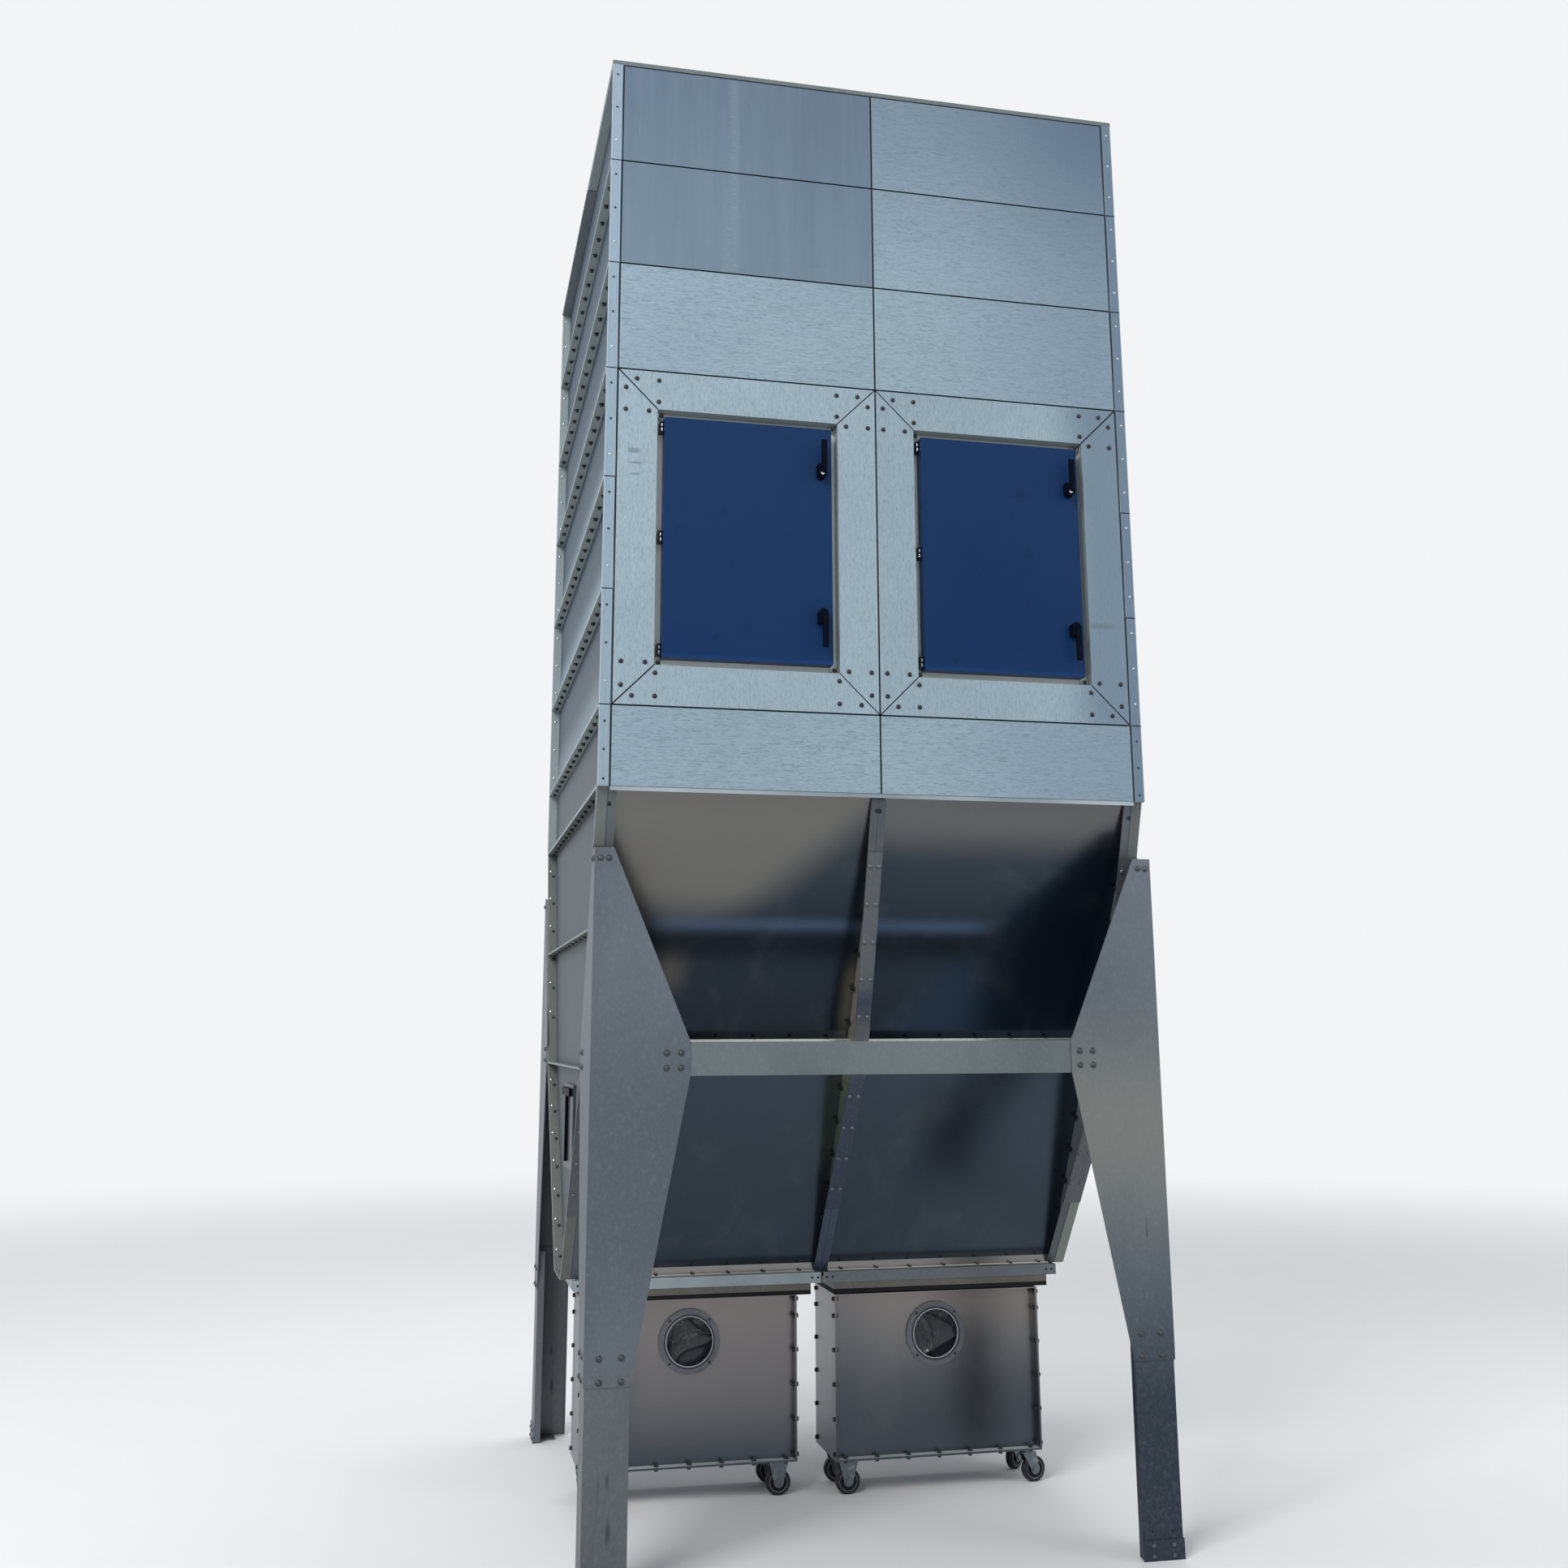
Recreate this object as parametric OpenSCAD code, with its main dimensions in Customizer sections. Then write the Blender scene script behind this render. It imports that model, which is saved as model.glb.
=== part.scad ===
// Modular dust collector: filter house on a two-bay hopper, four legs, two roll-out dust bins.
// Frame: X to the right, Y to the back, Z up, floor at Z = 0, origin at the middle of the footprint.

/* [Filter house] */
// width over the wall flanges
house_w = 1700; // [1500:10:1900]
// depth over the wall flanges
house_d = 1850; // [1700:10:2000]
// height of the house's lower edge above the floor
house_z = 2150; // [2100:5:2300]
// height of one panel row
row_h = 350; // [320:1:380]
// height of the short row at the bottom
short_row_h = 240; // [200:1:300]
// panel rows above the doors
top_rows = 3; // [1:1:4]
// panel rows that a door unit covers
door_rows = 3; // [3:1:4]
// sheet thickness
sheet = 3; // [2:0.5:4]
// how far the side wall flanges stand out from their sheets
wall_flange = 33; // [25:1:45]
// depth of the folded edges of the front and rear panels
panel_fold = 30; // [20:1:45]
// seam between two panels
seam = 3; // [1:0.5:5]
// joint between two wall panels
wall_joint = 0.3; // [0.2:0.1:0.8]
// height of the roof tray's edge
roof_edge_h = 14; // [10:1:40]

/* [Access doors] */
// width of the mitred frame pieces
door_frame_w = 124; // [100:1:150]
// cut between two mitred pieces
mitre_gap = 2; // [1:0.5:4]
// depth of the frame pieces' folded edges
frame_fold = 46; // [42:1:52]
// width of the recessed rim around a door
door_rim_w = 45; // [38:1:50]
// depth of the rim behind the panel face
door_rim_set = 40; // [32:1:42]
// gap between a door and the sides of its opening
door_gap = 22; // [22:1:30]
// gap between a door and the ends of its opening
door_gap_z = 25; // [22:1:32]
// how far a door stands out of the panel face
door_proud = 6; // [0:1:15]
// height of the pads in the rim's corners
pad_h = 20; // [10:1:28]
// handle length
handle_l = 122; // [90:1:160]
// handle width
handle_w = 28; // [20:1:36]
// height of a handle over the door
handle_h = 34; // [24:1:50]
// length of a handle's boss
boss_l = 44; // [30:1:60]
// width of a handle's lever
lever_w = 17; // [10:1:20]
// thickness of a handle's lever
lever_t = 9; // [6:1:14]
// distance of the handles' middle from the door's free edge
handle_inset = 35; // [20:1:80]
// distance of the handles' far ends from the door's top and bottom edges
handle_end = 46; // [20:1:120]
// hinge length
hinge_l = 35; // [24:1:60]
// hinge width
hinge_w = 13; // [10:1:18]
// distance of the outer hinges from the door's top and bottom edges
hinge_end = 8; // [5:1:60]

/* [Hopper] */
// height of the joint between the two upper side panels
side_joint_z = 1750; // [1750:5:1850]
// height of the kink in the side walls' sloping edges
kink_z = 1350; // [1250:5:1350]
// height of the hopper's lower edge
hopper_z = 690; // [650:5:800]
// distance of the sloping edge behind the front plane, at the top
edge_top = 22; // [20:0.5:22]
// the same at the kink
edge_kink = 290; // [200:5:400]
// the same at the lower edge
edge_low = 812; // [700:1:830]
// the sloping plate behind the wall edge, at its upper and lower ends
plate_set = 7; // [5:0.5:8]
// height of the joint between the upper and the lower plate
split_z = 1430; // [1380:5:1450]
// width of the flanges at that joint
mid_flange = 33; // [20:1:40]
// height of the upright lip at the plate's lower end
lip_h = 26; // [15:1:50]
// width of the lip's bolting flange
lip_flange = 26; // [15:1:40]
// width of the edge strips on the divider, each side
strip_w = 23; // [15:1:32]
// upper end of the cover strips
cover_top_z = 1985; // [1800:5:2050]
// lower end of the upper cover strips and gap over the kink
cover_gap = 24; // [10:1:60]
// lower end of the lower cover strips
cover_low_z = 900; // [760:5:1200]
// height of the bright angle under the house
top_angle_h = 13; // [8:1:20]

/* [Outlets] */
// height of the outlet rails
rail_h = 33; // [20:1:50]
// width of the rails' top flange
rail_w = 28; // [20:1:50]
// outside depth of an outlet frame
outlet_d = 286; // [260:1:320]
// space between an outlet frame and the divider or side wall
outlet_side = 3; // [1:0.5:10]
// height of the collar below the rails
collar_h = 21; // [10:1:60]
// set-back of the collar from the rails' front
collar_set = 3; // [1:0.5:10]
// inset of the collar from the outlet frame's ends
collar_end = 34; // [20:1:50]
// gasket height
gasket_h = 13; // [6:1:16]
// gasket width
gasket_w = 22; // [12:1:28]

/* [Legs] */
// bracket height range, upper end
bracket_top_z = 1972; // [1920:1:2040]
// bracket's lower end
bracket_low_z = 528; // [450:1:600]
// bracket wing width at its upper end
wing_top = 56; // [42:1:80]
// bracket wing width at the crossbar
wing_mid = 282; // [220:1:340]
// bracket wing width at its lower end
wing_low = 126; // [122:1:150]
// leg channel width and depth
leg_w = 122; // [100:1:140]
// width of the lips on the leg section's two free edges
leg_lip = 24; // [10:1:35]
// overlap of leg and bracket
leg_overlap = 135; // [80:1:200]
// thickness of the foot's base
base_t = 6; // [4:1:12]
// anchor hole radius
anchor_r = 7; // [5:0.5:9]
// height of the foot's walls outside the leg
foot_h = 55; // [40:1:100]
// height of the corner angle behind the bracket's upper end
gusset_h = 260; // [80:5:300]
// front width of the corner angle
gusset_w = 48; // [30:1:50]
// distance of the corner angle below the bracket's upper end
gusset_end = 10; // [5:1:30]
// underside of the crossbars
bar_z = 1335; // [1300:1:1420]
// crossbar height
bar_h = 93; // [70:1:110]
// crossbar depth
bar_d = 40; // [25:1:50]
// crossbar overlap behind each bracket wing
bar_overlap = 112; // [60:1:180]

/* [Duct connections] */
// outside radius of the air inlet
inlet_r = 177.5; // [150:0.5:182]
// distance of the inlet's axis behind the middle
inlet_y = 0; // [-100:5:100]
// outside radius of the clean air outlet
outlet_r = 125; // [100:0.5:140]
// distance of the clean air outlet's axis behind the middle
outlet_y = 300; // [-400:5:400]
// length of the connections outside the wall sheet
spigot_l = 80; // [60:1:90]
// width of the connections' flanges on the wall
spigot_flange = 14; // [8:1:14]

/* [Inspection hatch] */
// hatch width
hatch_w = 300; // [200:5:360]
// hatch height
hatch_h = 270; // [200:5:300]
// distance of the hatch below the kink
hatch_gap = 60; // [30:5:90]
// hatch thickness
hatch_t = 8; // [5:1:15]
// width of the hatch's clamp bar and diameter of its rod
clamp_w = 24; // [12:1:30]
// inset of the clamp bar from the hatch's sides
clamp_inset = 20; // [10:1:60]

/* [Dust bins] */
// bin width
bin_w = 700; // [600:5:720]
// bin depth
bin_d = 270; // [240:1:300]
// height of the bin's floor underside
bin_z = 110; // [106:1:130]
// clearance between a bin and the gasket above it
bin_clear = 5; // [5:0.5:12]
// width of the forward flanges around the bin's front sheet
bin_flange = 32; // [20:1:36]
// middle of the right bin, from the middle of the hopper
right_bin_x = 393; // [370:1:400]
// the right bin, back from the middle
right_bin_y = 0; // [-20:1:40]
// middle of the left bin, left of the hopper's middle
left_bin_x = 425; // [370:1:430]
// the left bin, back from the middle
left_bin_y = 40; // [-20:1:60]
// radius of the sight window's ring
ring_r = 100; // [80:1:110]
// radius of the clear window
glass_r = 76; // [50:1:78]
// thickness of the window's ring
ring_t = 8; // [5:1:12]
// height of the window's middle above the bin floor
window_up = 371; // [300:1:385]

/* [Casters] */
// wheel radius
wheel_r = 40; // [30:1:42]
// wheel width
wheel_t = 25; // [16:1:30]
// distance of a swivel caster's axle from its swivel axis
trail = 22; // [15:1:30]
// swivel axis from the bin's outer end
caster_x = 32; // [30:1:60]
// fixed caster's axle from the bin's inner end
fixed_x = 52; // [36:1:80]
// caster from the bin's front and back
caster_y = 59; // [45:1:62]
// mounting plate size
plate_w = 56; // [46:1:60]
// swivel head radius
head_r = 21; // [15:1:24]
// swivel head height
head_h = 12; // [8:1:14]
// half length of a swivel caster's fork at its top
swivel_half = 25; // [20:1:28]
// half length of a fixed caster's fork at its top
fixed_half = 33; // [24:1:34]
// radius of the forks' round ends
fork_r = 16; // [12:1:20]
// fork sheet thickness
fork_t = 3; // [2:0.5:4]
// gap between wheel and fork
wheel_gap = 2; // [1:0.5:4]
// axle radius
axle_r = 5; // [3:0.5:7]
// radius of the axle's caps
cap_r = 10; // [6:0.5:11]
// thickness of the axle's caps
cap_t = 3; // [2:0.5:5]
// rest turn of the right bin's front swivel caster
right_front_turn = 10; // [0:1:180]
// rest turn of the right bin's rear swivel caster
right_rear_turn = 38; // [0:1:180]
// rest turn of the left bin's front swivel caster
left_front_turn = 100; // [0:1:180]
// rest turn of the left bin's rear swivel caster
left_rear_turn = 110; // [0:1:180]

/* [Hidden] */
$fn = 48;
seat = 0.3;
half_w = house_w / 2;
half_d = house_d / 2;
inner_w = half_w - wall_flange;
wall_in = inner_w - sheet;
doors_z = house_z + short_row_h;
doors_top = doors_z + door_rows * row_h;
house_top = doors_top + top_rows * row_h;
column_w = (2 * wall_in - 2 * seat - seam) / 2;
column_x = seam / 2;
frame_w = wall_in - seat + seam / 2;
opening_w = frame_w - 2 * door_frame_w;
opening_x = door_frame_w;
opening_z = doors_z + door_frame_w;
opening_h = door_rows * row_h - 2 * door_frame_w;
door_w = opening_w - 2 * door_gap;
door_h = opening_h - 2 * door_gap_z;
door_t = door_proud + door_rim_set - seat;
upper_slope = (edge_kink - edge_top) / (house_z - kink_z);
lower_slope = (edge_low - edge_kink) / (kink_z - hopper_z);
joint_z = house_z + seam / 2 - seat;
plate_top = edge_top + plate_set;
plate_low = edge_low + plate_set;
plate_run = (plate_low - plate_top) / (joint_z - hopper_z - lip_h);
plate_t = sheet * sqrt(1 + plate_run * plate_run);
rail_top_z = hopper_z - seat;
collar_top_z = rail_top_z - rail_h - seat;
gasket_top_z = collar_top_z - collar_h - seat;
bin_top_z = gasket_top_z - gasket_h - bin_clear;
outlet_x0 = sheet / 2 + outlet_side;
outlet_w = wall_in - outlet_side - outlet_x0;
inlet_z = (side_joint_z + kink_z) / 2;
hatch_z = kink_z - hatch_gap - hatch_h;
k_upper = sheet * sqrt(1 + upper_slope * upper_slope);
k_lower = sheet * sqrt(1 + lower_slope * lower_slope);
cut = 1;
pad_r = 8;
pad_inset = 12;
hinge_set = 8;
hinge_wall = 3;
pin_r = 3;
plate_h = 3;
plate_trim = 4;
swivel_gap = 0.5;
axle_gap = 0.3;
hub_wall = 5;
rim_set = 3;
tread_edge = 4;
rim_part = 0.7;
head_top_z = bin_z - plate_h - swivel_gap;
fork_in = wheel_t / 2 + wheel_gap;

// distance of the sloping wall edge behind the front plane at height z
function edge_at(z) =
    z >= kink_z ? edge_top + (house_z - z) * upper_slope
                : edge_kink + (kink_z - z) * lower_slope;

module mirror_x() {
    children();
    mirror([1, 0, 0]) children();
}

module mirror_y() {
    children();
    mirror([0, 1, 0]) children();
}

// a profile drawn in Y and Z, pushed out along X
module along_x(x0, x1) {
    translate([x0, 0, 0]) rotate([90, 0, 90]) linear_extrude(height = x1 - x0) children();
}

// a profile drawn in X and Z, pushed out along Y
module along_y(y0, y1) {
    translate([0, y1, 0]) rotate([90, 0, 0]) linear_extrude(height = y1 - y0) children();
}

// folded panel with its face on the front plane, its corner at x, z
module front_panel(x, z, w, h) {
    translate([x, -half_d, z])
        difference() {
            cube([w, panel_fold, h]);
            translate([sheet, sheet, sheet]) cube([w - 2 * sheet, panel_fold, h - 2 * sheet]);
        }
}

module panel_row(z, h) {
    mirror_x() front_panel(column_x, z + seam / 2, column_w, h - seam);
}

module front_panels() {
    color("#a9b4b8") {
        panel_row(house_z, short_row_h);
        for (i = [0 : top_rows - 1])
            panel_row(doors_top + i * row_h, i == top_rows - 1 ? row_h - roof_edge_h : row_h);
    }
}

// half a door frame's outline, a bar with mitred ends and folded edges
module mitred_bar(l, w) {
    difference() {
        linear_extrude(height = frame_fold)
            polygon([[seam / 2 + mitre_gap, seam / 2], [l - seam / 2 - mitre_gap, seam / 2],
                     [l - w - mitre_gap, w], [w + mitre_gap, w]]);
        translate([0, 0, sheet])
            linear_extrude(height = frame_fold)
                polygon([[2 * sheet + mitre_gap, sheet + seam / 2],
                         [l - 2 * sheet - mitre_gap, sheet + seam / 2],
                         [l - w - mitre_gap + sheet, w - sheet],
                         [w + mitre_gap - sheet, w - sheet]]);
    }
}

// the bar's foot edge lies on the outline of the door unit
module frame_side(x, z, turn, l) {
    translate([x, -half_d, z]) rotate([0, -turn, 0]) rotate([90, 0, 0])
        mirror([0, 0, 1]) mitred_bar(l, door_frame_w);
}

module door_frames() {
    h = door_rows * row_h;
    color("#a9b4b8")
        mirror_x() {
            frame_side(0, doors_z, 0, frame_w);
            frame_side(frame_w, doors_z, 90, h);
            frame_side(frame_w, doors_z + h, 180, frame_w);
            frame_side(0, doors_z + h, 270, h);
        }
}

module at_doors() {
    translate([opening_x, 0, opening_z]) children();
    translate([opening_x - frame_w, 0, opening_z]) children();
}

// sheet ring deep in the opening, with a round pad in each corner
module door_rims() {
    y0 = -half_d + door_rim_set;
    w = opening_w - 2 * seat;
    h = opening_h - 2 * seat;
    color("#c8ced0")
        at_doors()
            translate([seat, y0, seat]) {
                difference() {
                    cube([w, sheet, h]);
                    translate([door_rim_w, -cut, door_rim_w])
                        cube([w - 2 * door_rim_w, sheet + 2 * cut, h - 2 * door_rim_w]);
                }
                for (x = [pad_inset, w - pad_inset])
                    for (z = [pad_inset, h - pad_inset])
                        translate([x, sheet / 2, z]) rotate([90, 0, 0])
                            cylinder(r = pad_r, h = pad_h + sheet / 2);
            }
}

// pan that is open to the back, its edges on the rim
module access_doors() {
    color("#1d3358")
        at_doors()
            translate([door_gap, -half_d - door_proud, door_gap_z])
                difference() {
                    cube([door_w, door_t, door_h]);
                    translate([sheet, sheet, sheet])
                        cube([door_w - 2 * sheet, door_t, door_h - 2 * sheet]);
                }
}

// swing handle: a boss at one end and a lever that stands off the door
module handle() {
    r = handle_w / 2;
    y0 = -half_d - door_proud - seat;
    h = handle_h - lever_t / 2;
    side = r - cut / 2;
    translate([0, y0, r]) rotate([90, 0, 0]) cylinder(r = r, h = h);
    translate([-side, y0 - h, r]) cube([2 * side, h, boss_l - r]);
    translate([side - lever_w, y0 - handle_h, r]) cube([lever_w, lever_t, handle_l - r]);
}

module door_handles() {
    x = opening_w - door_gap - handle_inset;
    z = door_gap_z + handle_end + handle_l;
    color("#15171a")
        at_doors() {
            translate([x, 0, opening_h - z]) handle();
            translate([x, 0, z]) mirror([0, 0, 1]) handle();
        }
}

// bracket in the gap beside the door, open towards the door, with its pin
module hinge() {
    y0 = -half_d + hinge_set;
    d = door_rim_set - seat - hinge_set;
    translate([door_gap - seat - hinge_w, y0, 0]) {
        difference() {
            cube([hinge_w, d, hinge_l]);
            translate([hinge_wall, -cut, hinge_wall])
                cube([hinge_w, d / 2 + cut, hinge_l - 2 * hinge_wall]);
        }
        translate([hinge_w / 2 + hinge_wall / 2, d / 4, hinge_wall / 2])
            cylinder(r = pin_r, h = hinge_l - hinge_wall);
    }
}

module door_hinges() {
    span = door_h - 2 * hinge_end - hinge_l;
    color("#2a2d30")
        at_doors()
            for (i = [0 : 2])
                translate([0, 0, door_gap_z + hinge_end + i * span / 2]) hinge();
}

// tray that is open to the outside, for the left wall; the flanges reach the outer face
module wall_panel(z, h) {
    translate([-half_w, -half_d, z + wall_joint / 2])
        difference() {
            cube([wall_flange + sheet, house_d, h - wall_joint]);
            translate([-sheet, sheet, sheet])
                cube([wall_flange + sheet, house_d - 2 * sheet, h - wall_joint - 2 * sheet]);
        }
}

module wall_stack() {
    rows = door_rows + top_rows;
    wall_panel(house_z, short_row_h);
    for (i = [0 : rows - 1])
        wall_panel(doors_z + i * row_h, i == rows - 1 ? row_h - roof_edge_h : row_h);
}

module left_wall_panels() {
    color("#9ea8ad") wall_stack();
}

module right_wall_panels() {
    color("#9ea8ad")
        difference() {
            mirror([1, 0, 0]) wall_stack();
            translate([wall_in - cut, outlet_y, doors_z + row_h / 2]) rotate([0, 90, 0])
                cylinder(r = outlet_r - sheet, h = sheet + 2 * cut);
        }
}

module rear_wall_panels() {
    rows = door_rows + top_rows;
    color("#9ea8ad")
        mirror([0, 1, 0]) {
            panel_row(house_z, short_row_h);
            for (i = [0 : rows - 1])
                panel_row(doors_z + i * row_h, i == rows - 1 ? row_h - roof_edge_h : row_h);
        }
}

module roof_panel() {
    color("#b4bcbf")
        translate([-half_w, -half_d, house_top - roof_edge_h])
            difference() {
                cube([house_w, house_d, roof_edge_h]);
                translate([sheet, sheet, -sheet])
                    cube([house_w - 2 * sheet, house_d - 2 * sheet, roof_edge_h]);
            }
}

// outline in Y and Z between two heights, drawn in from the wall edges by a margin
module side_outline(z0, z1, margin) {
    run = (edge_at(z0) - edge_at(z1)) / (z1 - z0);
    k = margin * sqrt(1 + run * run);
    a = z0 + margin;
    b = z1 - margin;
    ya = half_d - edge_at(z0) + run * margin - k;
    yb = half_d - edge_at(z1) - run * margin - k;
    polygon([[-ya, a], [ya, a], [yb, b], [-yb, b]]);
}

// slice along the sloping front edge, between two depths behind it
module edge_slice(z0, z1, d0, d1) {
    run = (edge_at(z0) - edge_at(z1)) / (z1 - z0);
    k = sqrt(1 + run * run);
    ya = half_d - edge_at(z0);
    yb = half_d - edge_at(z1);
    polygon([[-ya + d0 * k, z0], [-ya + d1 * k, z0], [-yb + d1 * k, z1], [-yb + d0 * k, z1]]);
}

// tray between two heights, drawn for the left side and open to the outside, with an edge
// strip inside the wall and a seam groove between flange and strip
module hopper_side(z0, z1) {
    a = z0 + wall_joint / 2;
    b = z1 - wall_joint / 2;
    difference() {
        union() {
            difference() {
                along_x(-half_w, -wall_in) side_outline(a, b, 0);
                along_x(-half_w - cut, -inner_w) side_outline(a, b, sheet);
            }
            mirror_y() along_x(-inner_w, -wall_in + strip_w) edge_slice(a, b, 0, sheet);
        }
        mirror_y() along_x(-inner_w, -inner_w + seam) edge_slice(a, b, -cut, sheet / 2);
    }
}

module hopper_side_stack() {
    hopper_side(side_joint_z, house_z);
    hopper_side(kink_z, side_joint_z);
    hopper_side(hopper_z, kink_z);
}

module left_hopper_side() {
    color("#98a2a8") hopper_side_stack();
}

module right_hopper_side() {
    color("#98a2a8")
        difference() {
            mirror([1, 0, 0]) hopper_side_stack();
            translate([wall_in - cut, inlet_y, inlet_z]) rotate([0, 90, 0])
                cylinder(r = inlet_r - sheet, h = sheet + 2 * cut);
        }
}

// distance of the sloping plate behind the front plane at height z
function plate_at(z) = plate_top + (joint_z - z) * plate_run;

// upper and lower sloping plate with flanges back to back, and a lip with its bolting flange
module hopper_plate() {
    zu = split_z + seat / 2;
    zd = split_z - seat / 2;
    zl = hopper_z + lip_h;
    z0 = hopper_z + seat;
    translate([0, -half_d, 0]) {
        along_x(sheet / 2 + seat, wall_in - seat) {
            polygon([[plate_at(joint_z), joint_z], [plate_at(zu + sheet), zu + sheet],
                     [plate_at(zu) - mid_flange, zu + sheet], [plate_at(zu) - mid_flange, zu],
                     [plate_at(zu) + plate_t, zu], [plate_at(joint_z) + plate_t, joint_z]]);
            polygon([[plate_at(zd) + plate_t, zd], [plate_at(zd) - mid_flange, zd],
                     [plate_at(zd) - mid_flange, zd - sheet], [plate_at(zd - sheet), zd - sheet],
                     [plate_low, zl], [plate_low, z0], [plate_low + sheet, z0],
                     [plate_low + sheet, zl]]);
        }
        along_x(strip_w + seat, wall_in - strip_w - seat)
            polygon([[plate_low - lip_flange, z0], [plate_low + sheet / 2, z0],
                     [plate_low + sheet / 2, z0 + sheet], [plate_low - lip_flange, z0 + sheet]]);
    }
}

module hopper_plates() {
    color("#6f777c") mirror_y() mirror_x() hopper_plate();
}

// wall between the two bays, with seamed edge strips that follow its sloping edges
module hopper_divider() {
    zt = joint_z - top_angle_h - seat;
    z0 = hopper_z + seat;
    yt = half_d - edge_at(zt);
    yk = half_d - edge_kink;
    yl = half_d - edge_at(z0);
    color("#98a2a8")
        difference() {
            union() {
                along_x(-sheet / 2, sheet / 2)
                    polygon([[-yl, z0], [yl, z0], [yk, kink_z], [yt, zt], [-yt, zt], [-yk, kink_z]]);
                mirror_y()
                    along_x(-strip_w, strip_w)
                        polygon([[-yl, z0], [-yl + k_lower, z0], [-yk + k_lower, kink_z],
                                 [-yt + k_upper, zt], [-yt, zt], [-yk, kink_z]]);
            }
            mirror_y()
                along_x(-seam / 4, seam / 4) {
                    edge_slice(hopper_z - cut, kink_z, -cut, sheet / 2);
                    edge_slice(kink_z, house_z, -cut, sheet / 2);
                }
        }
}

// strip over the seam of the edge strips
module cover(x0, x1) {
    z1 = kink_z + cover_gap;
    z2 = kink_z - cover_gap;
    e1 = edge_at(cover_top_z);
    e2 = edge_at(z1);
    e3 = edge_at(z2);
    e4 = edge_at(cover_low_z);
    along_x(x0, x1)
        translate([-half_d - seat, 0]) {
            polygon([[e1, cover_top_z], [e2, z1], [e2 - k_upper, z1],
                     [e1 - k_upper, cover_top_z]]);
            polygon([[e3, z2], [e4, cover_low_z], [e4 - k_lower, cover_low_z],
                     [e3 - k_lower, z2]]);
        }
}

module cover_strips() {
    color("#8b959b")
        mirror_y() {
            cover(-strip_w, strip_w);
            mirror_x() cover(wall_in - strip_w, half_w);
        }
}

// angle under the house's front and rear edges
module top_angles() {
    z1 = joint_z;
    color("#c0c8cb")
        mirror_y()
            along_x(-wall_in + seat, wall_in - seat)
                translate([-half_d, 0])
                    polygon([[sheet, z1], [sheet, z1 - top_angle_h], [2 * sheet, z1 - top_angle_h],
                             [2 * sheet, z1 - sheet], [edge_top - sheet, z1 - sheet],
                             [edge_top - sheet, z1]]);
}

module at_outlets() {
    mirror_x() translate([outlet_x0, 0, 0]) children();
}

// four angles around each outlet
module outlet_rails() {
    z0 = rail_top_z - rail_h;
    color("#aab3b6")
        at_outlets() {
            mirror_y()
                translate([0, -outlet_d / 2, z0])
                    difference() {
                        cube([outlet_w, rail_w, rail_h]);
                        translate([-cut, sheet, -sheet])
                            cube([outlet_w + 2 * cut, rail_w, rail_h]);
                    }
            for (x = [0, outlet_w - sheet])
                translate([x, -outlet_d / 2 + rail_w + seat, z0])
                    cube([sheet, outlet_d - 2 * rail_w - 2 * seat, rail_h]);
        }
}

// upright sheets around each outlet, below the rails
module ring_of_bars(x0, w, d, z0, h, t) {
    mirror_y() translate([x0, -d / 2, z0]) cube([w, t, h]);
    for (x = [x0, x0 + w - t])
        translate([x, -d / 2 + t + seat, z0]) cube([t, d - 2 * t - 2 * seat, h]);
}

module outlet_collars() {
    d = outlet_d - 2 * collar_set;
    color("#a3acb0")
        at_outlets()
            ring_of_bars(collar_end, outlet_w - 2 * collar_end, d,
                         collar_top_z - collar_h, collar_h, sheet);
}

module outlet_gaskets() {
    d = outlet_d - 2 * collar_set;
    color("#101114")
        at_outlets()
            ring_of_bars(collar_end, outlet_w - 2 * collar_end, d,
                         gasket_top_z - gasket_h, gasket_h, gasket_w);
}

module inspection_hatch() {
    color("#5e666c")
        translate([-inner_w - seat - hatch_t, -hatch_w / 2, hatch_z])
            cube([hatch_t, hatch_w, hatch_h]);
}

// clamp bar across the hatch's top and the rod that hangs from it
module hatch_clamp() {
    r = clamp_w / 2;
    x0 = -inner_w - 2 * seat - hatch_t - r;
    w = hatch_w - 2 * clamp_inset;
    z1 = hatch_z + hatch_h - clamp_w / 2;
    color("#14161a") {
        translate([x0, -w / 2, z1 - clamp_w]) cube([r, w, clamp_w]);
        translate([x0 + r / 2, 0, hatch_z + clamp_w])
            cylinder(r = r / 2, h = z1 - hatch_z - 1.5 * clamp_w);
    }
}

module wing_outline() {
    z_bar = bar_z + bar_h;
    polygon([[0, bracket_low_z], [wing_low, bracket_low_z], [wing_mid, bar_z],
             [wing_mid, z_bar], [wing_top, bracket_top_z], [0, bracket_top_z]]);
}

// bracket of two tapered wings on the corner's outside faces, with an angle behind its upper
// end that meets the hopper's sloping edge
module leg_brackets() {
    o = sheet + seat;
    zb = bracket_top_z - gusset_end;
    za = zb - gusset_h;
    back = -half_d - k_upper - 2 * seat;
    color("#757b82")
        mirror_x() mirror_y() {
            along_y(-half_d - o, -half_d - seat) translate([-half_w - o, 0]) wing_outline();
            along_x(-half_w - o, -half_w - seat) translate([-half_d - o, 0]) wing_outline();
            along_x(-half_w, -half_w + sheet)
                polygon([[-half_d, za], [back + edge_at(za), za], [back + edge_at(zb), zb],
                         [-half_d, zb]]);
            translate([-half_w, -half_d, za]) cube([gusset_w, sheet, gusset_h]);
        }
}

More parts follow.
